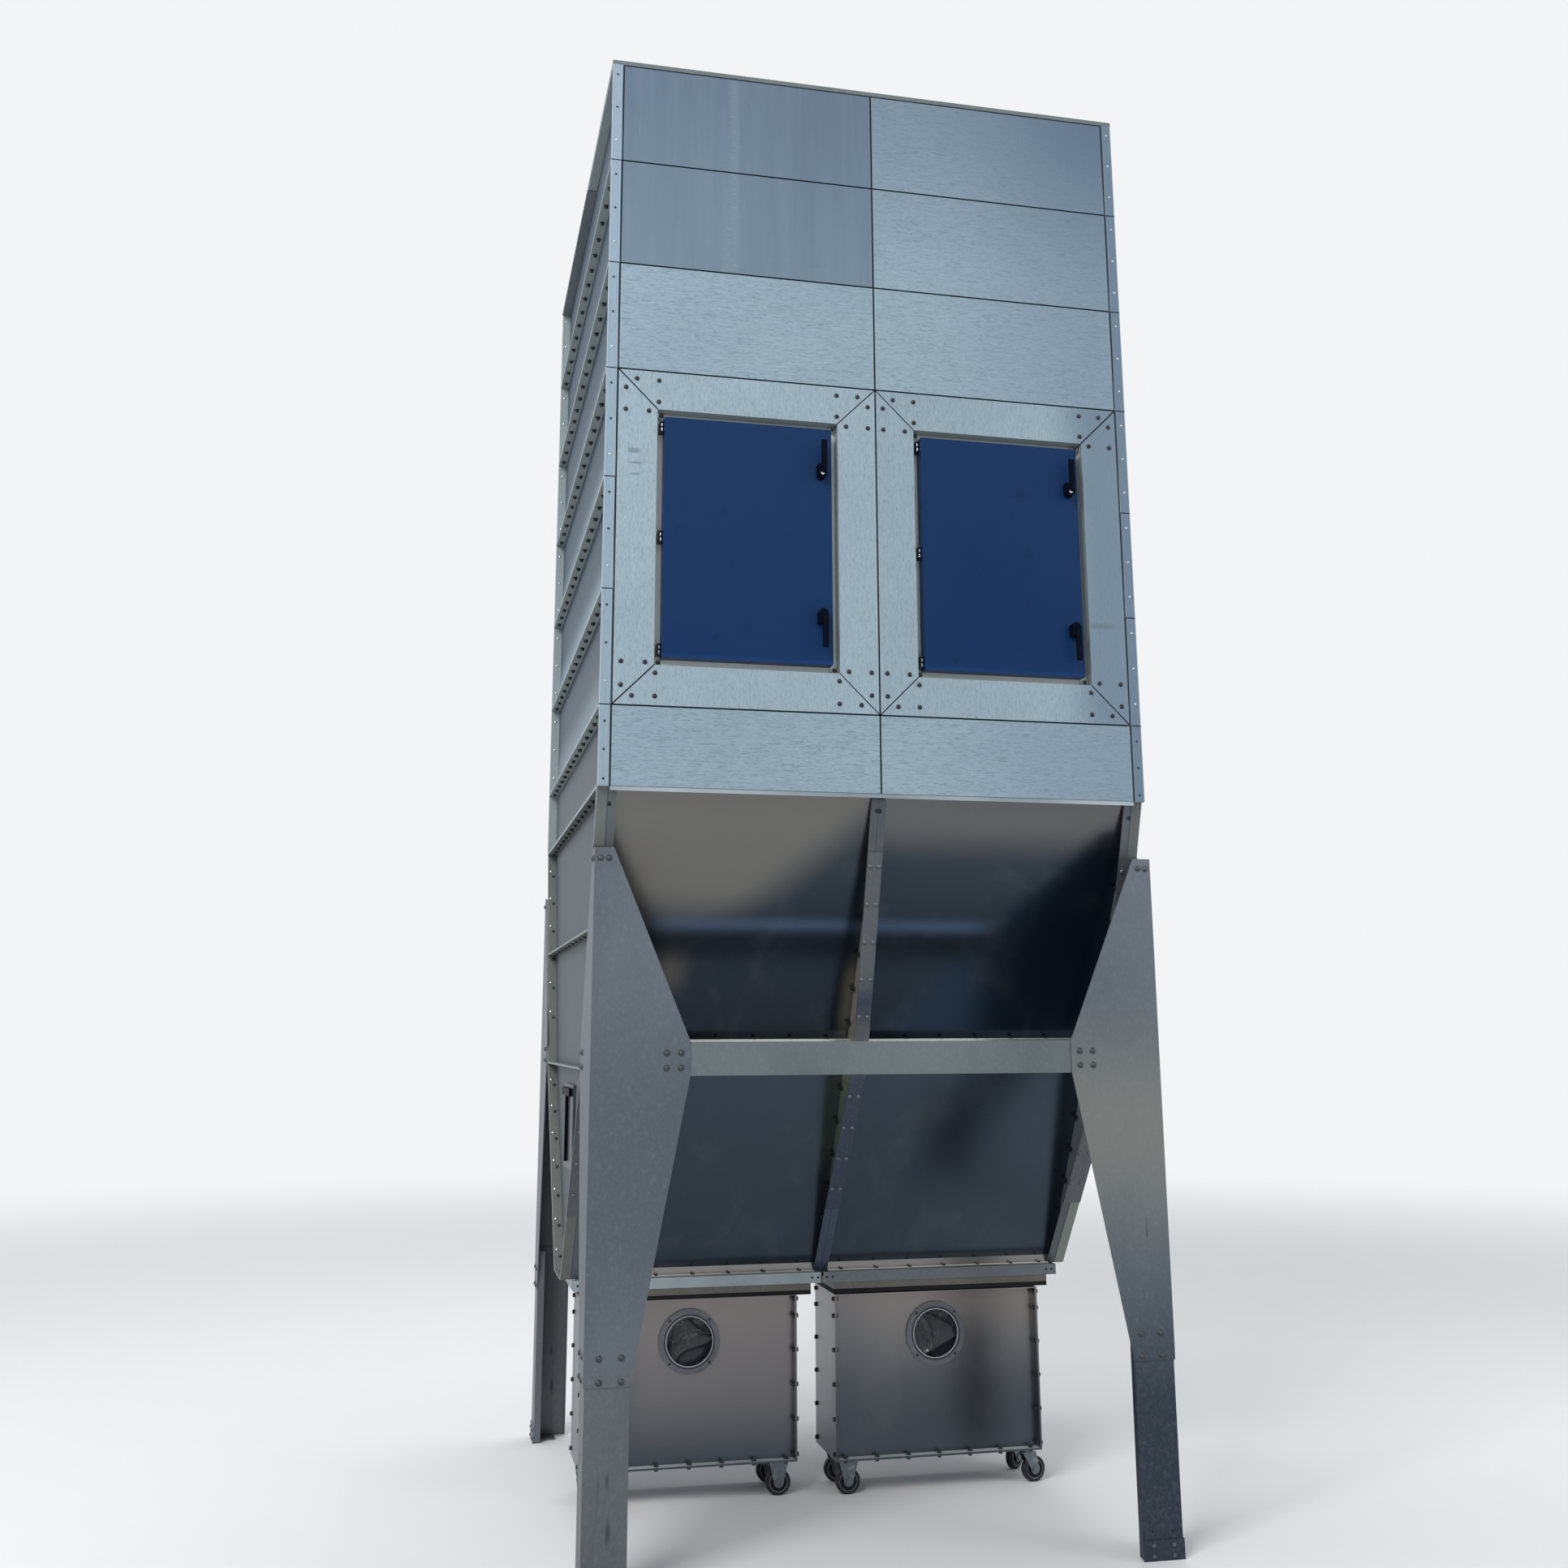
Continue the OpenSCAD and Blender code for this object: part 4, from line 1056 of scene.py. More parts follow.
@dataclass(frozen=True)
class HeadShape:
    """Half outline of a small turned part: radius and height in millimetres from its seat."""

    outline: tuple[Pair, ...]
    sides: int = 10
    hollow: bool = False

    def array(
        self, places: np.ndarray, axes: np.ndarray, turn: float = 0.0
    ) -> tuple[np.ndarray, list[np.ndarray]]:
        """Sets one part at each place.

        Each part is its outline carried round its axis: a point is the place, plus the radius
        times the cosine and sine of the turn along two directions square to the axis, plus the
        height along the axis. A solid part's ends are closed by one face each, and a hollow
        part's outline runs back to its start.

        Args:
            places: Seats as an (n, 3) array, in metres.
            axes: The parts' directions as an (n, 3) array of unit vectors.
            turn: Turn of the first side, in radians.

        Returns:
            The points and the faces.
        """
        places, axes = np.atleast_2d(places), np.atleast_2d(axes)
        rings, sides = len(self.outline), self.sides
        radius, height = np.array(self.outline).T / 1000.0
        helper = np.where(np.abs(axes[:, 2:3]) < 0.9, [[0.0, 0.0, 1.0]], [[1.0, 0.0, 0.0]])
        across = np.cross(helper, axes)
        across /= np.linalg.norm(across, axis=1, keepdims=True)
        upright = np.cross(axes, across)
        angle = (turn + TAU * np.arange(sides) / sides)[None, None, :, None]
        reach = radius[None, :, None, None]
        points = (
            places[:, None, None, :]
            + reach * np.cos(angle) * across[:, None, None, :]
            + reach * np.sin(angle) * upright[:, None, None, :]
            + height[None, :, None, None] * axes[:, None, None, :]
        )
        steps = rings if self.hollow else rings - 1
        ring, side = np.meshgrid(np.arange(steps), np.arange(sides), indexing="ij")
        above, following = (ring + 1) % rings, (side + 1) % sides
        quads = np.stack(
            [ring * sides + side, ring * sides + following,
             above * sides + following, above * sides + side], axis=-1,
        ).reshape(-1, 4)
        starts = (np.arange(len(places)) * rings * sides)[:, None, None]
        faces = [(quads[None] + starts).reshape(-1, 4)]
        if not self.hollow:
            top = (rings - 1) * sides + np.arange(sides)
            faces += [top[None] + starts[:, 0], np.arange(sides)[::-1][None] + starts[:, 0]]
        return points, faces


DOME = HeadShape(
    ((7.2, 0.0), (7.4, 0.8), (7.2, 1.4), (6.3, 3.0), (4.6, 4.3), (2.4, 5.0), (0.8, 5.2)), 14)
SMALL_DOME = HeadShape(((4.4, 0.0), (4.5, 0.6), (4.0, 1.9), (2.6, 2.8), (0.8, 3.1)))
SCREW_DOME = HeadShape(((3.7, 0.0), (3.8, 0.5), (3.0, 1.7), (0.8, 2.4)))
WASHER_DOME = HeadShape(
    ((9.5, 0.0), (9.5, 1.0), (8.9, 1.5), (7.2, 1.6), (6.6, 3.6), (4.8, 5.2), (2.4, 6.0),
     (0.8, 6.2)), 14)
FLANGE_DOME = HeadShape(
    ((8.8, 0.0), (8.9, 0.9), (8.3, 1.9), (6.9, 3.5), (4.6, 4.7), (2.2, 5.2), (0.8, 5.3)), 14)
HEX_BOLT = HeadShape(
    ((8.5, 0.0), (8.5, 1.4), (7.2, 1.5), (7.2, 6.0), (6.4, 6.8), (1.0, 7.0)), 6)
SMALL_HEX = HeadShape(
    ((6.2, 0.0), (6.2, 0.9), (5.2, 1.0), (5.2, 4.2), (4.6, 4.9), (0.8, 5.0)), 6)
NUT = HeadShape(
    ((7.4, 0.0), (7.4, 5.6), (6.7, 6.4), (4.0, 6.4), (3.9, 9.5), (3.2, 10.2), (0.8, 10.3)), 6)
STUD = HeadShape(
    ((9.0, 0.0), (9.0, 1.6), (7.6, 1.7), (7.6, 8.5), (4.2, 8.6), (4.0, 15.0), (0.8, 15.2)), 6)
BOLT = HeadShape(
    ((8.2, 0.0), (8.2, 1.4), (7.0, 1.6), (7.0, 7.0), (5.8, 8.8), (2.6, 9.6), (0.8, 9.8)), 12)
DOT = HeadShape(((4.0, 0.0), (4.0, 0.25), (1.0, 0.3)), 12)
LOCK = HeadShape(
    ((5.0, 0.0), (5.0, 1.6), (4.4, 2.0), (2.6, 2.0), (2.4, 1.4), (0.8, 1.3)), 20)
PIVOT = HeadShape(((3.5, 0.0), (3.5, 9.0), (3.0, 9.5), (0.8, 9.6)), 12)
TYRE_RING = HeadShape(
    ((28.0, -2.4), (29.9, -2.2), (29.9, 0.3), (28.9, 0.7), (28.0, 0.3)), 40, True)
WHEEL_DISC = HeadShape(
    ((10.9, -2.8), (27.9, -2.8), (27.9, -2.2), (20.0, -1.5), (10.9, -1.9)), 40, True)
WINDOW_LIP = HeadShape(
    ((75.2, -1.0), (77.2, -1.0), (77.0, 0.8), (76.2, 1.1), (75.2, 0.7)), 64, True)


@dataclass
class Fasteners:
    """A set of like small parts that is made as one mesh."""

    name: str
    shape: HeadShape
    look: str
    body: str = HOUSING
    turn: float = 0.3
    places: list[np.ndarray] = field(default_factory=list)
    axes: list[np.ndarray] = field(default_factory=list)

    def add(self, points: np.ndarray, axis: Sequence[float]) -> None:
        """Adds parts.

        Args:
            points: Seats as an (n, 3) array, in metres.
            axis: Direction that all of them point.
        """
        points = np.atleast_2d(points)
        direction = np.array(axis, float)
        direction /= np.linalg.norm(direction)
        self.places.append(points)
        self.axes.append(np.repeat(direction[None], len(points), axis=0))

    def both(self, points: np.ndarray, axis: Sequence[float], mirror: int) -> None:
        """Adds parts and their mirror image.

        Args:
            points: Seats as an (n, 3) array, in metres.
            axis: Direction that all of them point.
            mirror: Number of the axis whose sign the image changes.
        """
        self.add(points, axis)
        self.add(mirrored(points, mirror), mirrored(np.array(axis, float), mirror))

    def build(self, finishes: Finishes) -> bpy.types.Object:
        """Makes the mesh of all parts.

        Args:
            finishes: All finishes.

        Returns:
            The object.
        """
        places, axes = np.concatenate(self.places), np.concatenate(self.axes)
        points, faces = self.shape.array(places, axes, self.turn)
        return finishes.piece(self.name, points, faces, self.look, self.body)


def grid(*axes: Sequence[float]) -> np.ndarray:
    """Gives all combinations of the coordinates as an (n, 3) array."""
    spread = np.meshgrid(*[np.atleast_1d(axis) for axis in axes], indexing="ij")
    return np.stack(spread, -1).reshape(-1, 3)


def mirrored(points: np.ndarray, axis: int) -> np.ndarray:
    """Mirrors points across the model's middle plane on that axis.

    Args:
        points: Points, or a direction, as an array.
        axis: Number of the axis whose sign changes.

    Returns:
        The mirrored copy.
    """
    copy = np.array(points, float)
    copy[..., axis] *= -1.0
    return copy


def both_ways(distances: Sequence[float]) -> np.ndarray:
    """Gives distances to the left of the middle, and then the same to the right."""
    return np.concatenate([-np.array(distances), np.array(distances)])


def boxes(lows: np.ndarray, highs: np.ndarray) -> tuple[np.ndarray, list[np.ndarray]]:
    """Gives boxes between low and high corners: eight corners and six outward faces each.

    Args:
        lows: Low corners as an (n, 3) array, in metres.
        highs: High corners as an (n, 3) array.

    Returns:
        The points and the faces.
    """
    lows, highs = np.atleast_2d(lows), np.atleast_2d(highs)
    corner = np.array([[0, 0, 0], [1, 0, 0], [1, 1, 0], [0, 1, 0],
                       [0, 0, 1], [1, 0, 1], [1, 1, 1], [0, 1, 1]])
    points = lows[:, None] + corner[None] * (highs - lows)[:, None]
    sides = np.array([[0, 3, 2, 1], [4, 5, 6, 7], [0, 1, 5, 4],
                      [1, 2, 6, 5], [2, 3, 7, 6], [3, 0, 4, 7]])
    return points, [(sides[None] + 8 * np.arange(len(lows))[:, None, None]).reshape(-1, 4)]


@dataclass
class Assembly:
    """Parts of the dust collector that are dressed and fitted out together.

    Sizes are in metres, in the model's frame: X to the right, Y to the rear, Z up. A field
    of two or three numbers lists them in the order in which its method takes them.
    """

    finishes: Finishes


@dataclass
class FilterHouse(Assembly):
    """The upper house: dresses its panels and sets the fasteners of its doors and walls."""

    half_w: float = 0.85
    half_d: float = 0.925
    frame_edge: float = 0.8137
    frame_w: float = 0.8152
    border: float = 0.124
    doors_z: float = 2.39
    doors_h: float = 1.05
    gap: float = 0.022
    gap_z: float = 0.025
    rim_set: float = 0.040
    pad_h: float = 0.020
    proud: float = 0.006
    handle_inset: float = 0.035
    handle_end: float = 0.046
    handle_l: float = 0.122
    lock_rise: float = 0.014
    boss_gap: float = 0.0003
    boss_h: float = 0.0295
    hinge_l: float = 0.035
    hinge_end: float = 0.008
    pin_place: Pair = (0.0053, 0.0155)
    pin_lifts: Pair = (0.005, 0.0205)
    tick_reach: Pair = (0.0005, 0.024)
    tick_half: float = 0.0007
    tick_sink: Pair = (0.0004, 0.001)
    pitch: float = 0.1159
    first: float = 0.0558
    per_flange: int = 16
    flange_inset: float = 0.0165
    flange_seat: float = 0.0032
    strip_drops: tuple[float, ...] = (0.05, 0.165, 0.28)
    low_screws: tuple[float, ...] = (2.171, 2.257, 2.34)
    top: float = 4.49
    roof_edge: float = 0.014
    roof_strip_x: Pair = (0.822, 0.852)
    roof_strip_y: Pair = (-0.135, 0.921)
    roof_strip_drop: Pair = (0.0034, 0.0004)
    sheet: float = 0.003
    duct_rings: tuple[Point, ...] = ((0.132, 0.3, 2.565), (0.1845, 0.0, 1.55))
    duct_face: float = 0.8203
    duct_bolts: int = 12
    wall_joints: tuple[float, ...] = (2.15, 2.39, 2.74, 3.09, 3.44, 3.79, 4.14)
    corner_marks: tuple[Pair, ...] = (
        (0.058, 0.029), (0.126, 0.030), (0.126, 0.100), (0.025, 0.060), (0.025, 0.131),
        (0.096, 0.131),
    )
    pad_mark: float = 0.1363

    def dress(self) -> None:
        """Gives the house's own nodes their finishes."""
        self.finishes.dress({
            "front_panels": "panel_zinc", "door_frames": "frame_zinc", "door_rims": "rim_zinc",
            "access_doors": "door_lacquer", "door_handles": "handle_plastic",
            "door_hinges": "hinge_steel", "left_wall_panels": "wall_zinc",
            "right_wall_panels": "wall_zinc", "rear_wall_panels": "panel_zinc",
            "roof_panel": "roof_zinc", "clean_air_outlet": "trim_zinc",
        })

    def openings(self) -> np.ndarray:
        """Gives left, right, low and high edges of the two door openings as a (2, 4) array.

        Returns:
            One row for each door.
        """
        width = self.frame_w - 2 * self.border
        low = self.doors_z + self.border
        high = self.doors_z + self.doors_h - self.border
        left = np.array([self.border - self.frame_w, self.border])
        return np.stack([left, left + width, np.full(2, low), np.full(2, high)], axis=1)

    def door_bolts(self) -> None:
        """Sets the bolts at the mitred corners, as offsets from each corner of a door unit."""
        bolts = Fasteners("door_frame_bolts", DOME, "frame_bolt")
        marks = np.array(self.corner_marks + ((self.pad_mark, self.pad_mark),))
        depth = np.full(len(marks), -self.half_d)
        depth[-1] += self.rim_set - self.pad_h
        for left, right in ((-self.frame_edge, 0.0), (0.0, self.frame_edge)):
            for x0, sx in ((left, 1.0), (right, -1.0)):
                for z0, sz in ((self.doors_z, 1.0), (self.doors_z + self.doors_h, -1.0)):
                    seats = np.stack([x0 + sx * marks[:, 0], depth, z0 + sz * marks[:, 1]], axis=1)
                    bolts.add(seats, (0, -1, 0))
        bolts.build(self.finishes)

    def door_trim(self) -> None:
        """Sets the lock buttons, the hinge pins and the joint lines of the recessed rims."""
        locks = Fasteners("door_locks", LOCK, "lock_metal")
        pins = Fasteners("hinge_pins", PIVOT, "bright_bolt")
        face = -self.half_d - self.proud - self.boss_gap - self.boss_h
        rim = -self.half_d + self.rim_set
        lows, highs = [], []
        for left, right, low, high in self.openings():
            x = right - self.gap - self.handle_inset
            z = high - self.gap_z - self.handle_end - self.handle_l + self.lock_rise
            locks.add(np.array([x, face, z]), (0, -1, 0))
            door_h = high - low - 2 * self.gap_z
            span = door_h - 2 * self.hinge_end - self.hinge_l
            starts = low + self.gap_z + self.hinge_end + span * np.array([0.0, 0.5, 1.0])
            hinge = left + self.gap - self.pin_place[0], -self.half_d + self.pin_place[1]
            for lift in self.pin_lifts:
                pins.add(grid([hinge[0]], [hinge[1]], starts + lift), (0, 0, 1))
            near, far = self.tick_reach
            for x_tick in (left + far, right - far):
                for z0, z1 in ((low + near, low + far), (high - far, high - near)):
                    lows.append((x_tick - self.tick_half, rim - self.tick_sink[0], z0))
                    highs.append((x_tick + self.tick_half, rim + self.tick_sink[1], z1))
        locks.build(self.finishes)
        pins.build(self.finishes)
        self.finishes.piece("rim_joints", *boxes(np.array(lows), np.array(highs)), "hinge_steel")

    def wall_bolts(self) -> None:
        """Sets a bolt through each pair of wall flanges, with its head below and nut above."""
        heads = Fasteners("wall_flange_bolts", BOLT, "flange_bolt")
        nuts = Fasteners("wall_flange_nuts", NUT, "dark_bolt")
        y = -self.half_d + self.first + self.pitch * np.arange(self.per_flange)
        x = self.half_w - self.flange_inset
        for joint in self.wall_joints:
            seats = grid([-x, x], y, [joint])
            heads.add(seats - [0, 0, self.flange_seat], (0, 0, -1))
            nuts.add(seats + [0, 0, self.flange_seat], (0, 0, 1))
        heads.build(self.finishes)
        nuts.build(self.finishes)

    def strip_screws(self) -> None:
        """Sets three screws for each row in the corner strips; two of the left three are dark."""
        bright = Fasteners("corner_strip_screws", SCREW_DOME, "bright_bolt")
        dark = Fasteners("corner_strip_rivets", SCREW_DOME, "flange_bolt")
        backs = Fasteners("rear_strip_domes", SMALL_DOME, "bright_bolt")
        x = self.half_w - self.flange_inset
        rows = np.array(self.wall_joints[2:] + (self.top,))
        for left, below in zip((dark, dark, bright), self.strip_drops):
            left.add(grid([-x], [-self.half_d], rows - below), (0, -1, 0))
            bright.add(grid([x], [-self.half_d], rows - below), (0, -1, 0))
            bright.add(grid([-x, x], [self.half_d], rows - below), (0, 1, 0))
            backs.add(grid([-x, x], [self.half_d - self.sheet], rows - below), (0, -1, 0))
        dark.add(grid([-x, x], [-self.half_d], self.low_screws), (0, -1, 0))
        for group in (bright, dark, backs):
            group.build(self.finishes)

    def roof_strip(self) -> None:
        """Makes the two flat strips under the rear half of the upper side flanges."""
        flange = self.top - self.roof_edge - self.sheet
        z0, z1 = (flange - drop for drop in self.roof_strip_drop)
        (inner, outer), (y0, y1) = self.roof_strip_x, self.roof_strip_y
        low = np.array([[-outer, y0, z0], [inner, y0, z0]])
        high = np.array([[-inner, y1, z1], [outer, y1, z1]])
        self.finishes.piece("roof_flange_strips", *boxes(low, high), "roof_zinc")

    def outlet_bolts(self) -> None:
        """Sets a ring of bolts in the flange of each duct connection: reach, Y and Z."""
        bolts = Fasteners("duct_flange_bolts", SMALL_DOME, "dark_bolt")
        angle = TAU * np.arange(self.duct_bolts) / self.duct_bolts
        face = np.full(self.duct_bolts, self.duct_face)
        for reach, y, z in self.duct_rings:
            seats = np.stack([face, y + reach * np.cos(angle), z + reach * np.sin(angle)], axis=1)
            bolts.add(seats, (1, 0, 0))
        bolts.build(self.finishes)

    def build(self) -> None:
        """Dresses the house and adds its fasteners."""
        self.dress()
        self.door_bolts()
        self.door_trim()
        self.wall_bolts()
        self.strip_screws()
        self.roof_strip()
        self.outlet_bolts()


@dataclass
class Hopper(Assembly):
    """The two-bay hopper with its strips, lips and outlets."""

    half_d: float = 0.925
    top: float = 2.15
    kink: float = 1.35
    low: float = 0.69
    edge_top: float = 0.022
    edge_kink: float = 0.290
    edge_low: float = 0.812
    joint: float = 2.1512
    plate_top: float = 0.029
    plate_run: float = 0.5504
    split: float = 1.43
    pair: float = 0.0135
    upper_pairs: Point = (1.942, 1.40, 0.111)
    lower_pairs: Point = (1.26, 0.93, 0.098)
    strip_seat: float = 0.0034
    edge_bolts: Pair = (0.8020, 0.8335)
    tray_rows: Pair = (2.08, 1.29)
    tray_span: float = 0.58
    tray_pitch: float = 0.115
    tray_seat: float = 0.0031
    tray_x: Pair = (0.8385, 0.829)
    nut_drop: float = 0.02
    level_joints: Pair = (1.75, 1.35)
    level_end: float = 0.05
    level_pitch: float = 0.112
    level_seat: float = 0.0032
    web_rows: tuple[Pair, ...] = ((2.105, 1.44), (1.385, 0.74))
    web_pitch: float = 0.104
    web_back: float = 0.013
    web_x: Pair = (0.0015, 0.814)
    joint_back: float = 0.0165
    joint_x: tuple[float, ...] = (0.072, 0.188, 0.304, 0.422, 0.54, 0.657, 0.765)
    lip_x: tuple[float, ...] = (0.071, 0.191, 0.307, 0.424, 0.543, 0.66, 0.76)
    lip_y: float = 0.806
    lip_seat: float = 0.0034
    rail_half: float = 0.143
    rail_x: tuple[float, ...] = (0.0145, 0.0345, 0.776, 0.796)
    rail_z: float = 0.6735

    def dress(self) -> None:
        """Gives the hopper's nodes their finishes."""
        self.finishes.dress({
            "left_hopper_side": "hopper_side_zinc", "right_hopper_side": "hopper_side_zinc",
            "hopper_plates": "hopper_zinc", "hopper_divider": "web_zinc",
            "cover_strips": "strip_zinc", "top_angles": "trim_zinc", "outlet_rails": "rail_zinc",
            "outlet_collars": "collar_zinc", "outlet_gaskets": "gasket_rubber",
            "inspection_hatch": "hatch_zinc", "hatch_clamp": "handle_plastic",
            "air_inlet": "trim_zinc",
        })

    def edge(self, z: np.ndarray) -> np.ndarray:
        """Distance of the walls' sloping edge behind the front plane, two straight runs."""
        heights = [self.low, self.kink, self.top]
        return np.interp(z, heights, [self.edge_low, self.edge_kink, self.edge_top])

    def plate(self, z: np.ndarray) -> np.ndarray:
        """Distance of the sloping plates behind the front plane, one straight run."""
        return self.plate_top + (self.joint - z) * self.plate_run

    def runs(self) -> tuple[tuple[np.ndarray, float, float], ...]:
        """Gives bolt heights, depth and rise of the upper and the lower sloping run.

        Returns:
            Heights, depth and rise for each run.
        """
        upper, lower = (np.arange(start, stop, -pitch)
                        for start, stop, pitch in (self.upper_pairs, self.lower_pairs))
        return ((upper, self.edge_kink - self.edge_top, self.top - self.kink),
                (lower, self.edge_low - self.edge_kink, self.kink - self.low))

    def strip_bolts(self) -> None:
        """Sets bolt pairs down the cover strips, square to the sloping edge."""
        domes = Fasteners("cover_strip_bolts", DOME, "plain_bolt")
        inner, outer = self.edge_bolts
        for heights, run, rise in self.runs():
            normal = np.array([0.0, -rise, -run]) / math.hypot(run, rise)
            depth = (-self.half_d + self.edge(heights)
                     - self.strip_seat * math.hypot(run, rise) / rise)
            for x in (-self.pair, self.pair, -outer, -inner, inner, outer):
                seats = np.stack([np.full(len(heights), x), depth, heights], axis=1)
                domes.both(seats, normal, 1)
        domes.build(self.finishes)

    def flange_bolts(self) -> None:
        """Sets bolts on the inner faces of the side trays' sloping and level flanges."""
        domes = Fasteners("hopper_flange_domes", SMALL_DOME, "bright_bolt")
        hexes = Fasteners("hopper_flange_nuts", SMALL_HEX, "dark_bolt")
        level = Fasteners("hopper_joint_bolts", FLANGE_DOME, "flange_bolt")
        dome_x, nut_x = self.tray_x
        for start, (_, run, rise) in zip(self.tray_rows, self.runs()):
            slope = math.hypot(run, rise)
            heights = np.arange(start, start - self.tray_span, -self.tray_pitch * rise / slope)
            normal = np.array([0.0, rise, run]) / slope
            depth = -self.half_d + self.edge(heights) + self.tray_seat * slope / rise
            for x, group in ((-dome_x, domes), (dome_x, domes), (-nut_x, hexes), (nut_x, hexes)):
                offset = 0.0 if group is domes else -self.nut_drop
                z = heights + offset
                seats = np.stack([np.full(len(z), x), depth - offset * run / rise, z], axis=1)
                group.both(seats, normal, 1)
        x = self.edge_bolts[1]
        for joint in self.level_joints:
            reach = self.half_d - self.edge(np.array(joint)) - self.level_end
            y = np.linspace(-reach, reach, int(2 * reach / self.level_pitch))
            level.add(grid([-x, x], y, [joint - self.level_seat]), (0, 0, -1))
        for group in (domes, hexes, level):
            group.build(self.finishes)

    def plate_bolts(self) -> None:
        """Sets the bolts that hold the sloping plates to divider, sides, lip and each other."""
        web = Fasteners("plate_edge_bolts", STUD, "frame_bolt")
        heights = np.concatenate([np.arange(high, low, -self.web_pitch)
                                  for high, low in self.web_rows])
        depth = -self.half_d + self.plate(heights) - self.web_back
        web_x, wall_x = self.web_x
        for x, side in ((web_x, 1), (-web_x, -1), (wall_x, -1), (-wall_x, 1)):
            seats = np.stack([np.full(len(heights), x), depth, heights], axis=1)
            web.both(seats, (side, 0, 0), 1)
        middle = Fasteners("plate_joint_bolts", SMALL_HEX, "flange_bolt")
        y = -self.half_d + self.plate(np.array(self.split)) - self.joint_back
        for side in (1, -1):
            seats = grid(both_ways(self.joint_x), [y], [self.split + side * self.level_seat])
            middle.both(seats, (0, 0, side), 1)
        lip = Fasteners("lip_bolts", SMALL_HEX, "flange_bolt")
        y, z = -self.half_d + self.lip_y, self.low + self.lip_seat
        lip.both(grid(both_ways(self.lip_x), [y], [z]), (0, 0, 1), 1)
        for group in (web, middle, lip):
            group.build(self.finishes)

    def rail_marks(self) -> None:
        """Sets two dark dots of painted shade, standing for holes, at each end of the outlet
        rails' faces.
        """
        dots = Fasteners("rail_holes", DOT, "hinge_steel")
        ends = both_ways(self.rail_x)
        dots.both(grid(ends, [-self.rail_half], [self.rail_z]), (0, -1, 0), 1)
        dots.build(self.finishes)

    def build(self) -> None:
        """Dresses the hopper and adds its fasteners."""
        self.dress()
        self.strip_bolts()
        self.flange_bolts()
        self.plate_bolts()
        self.rail_marks()


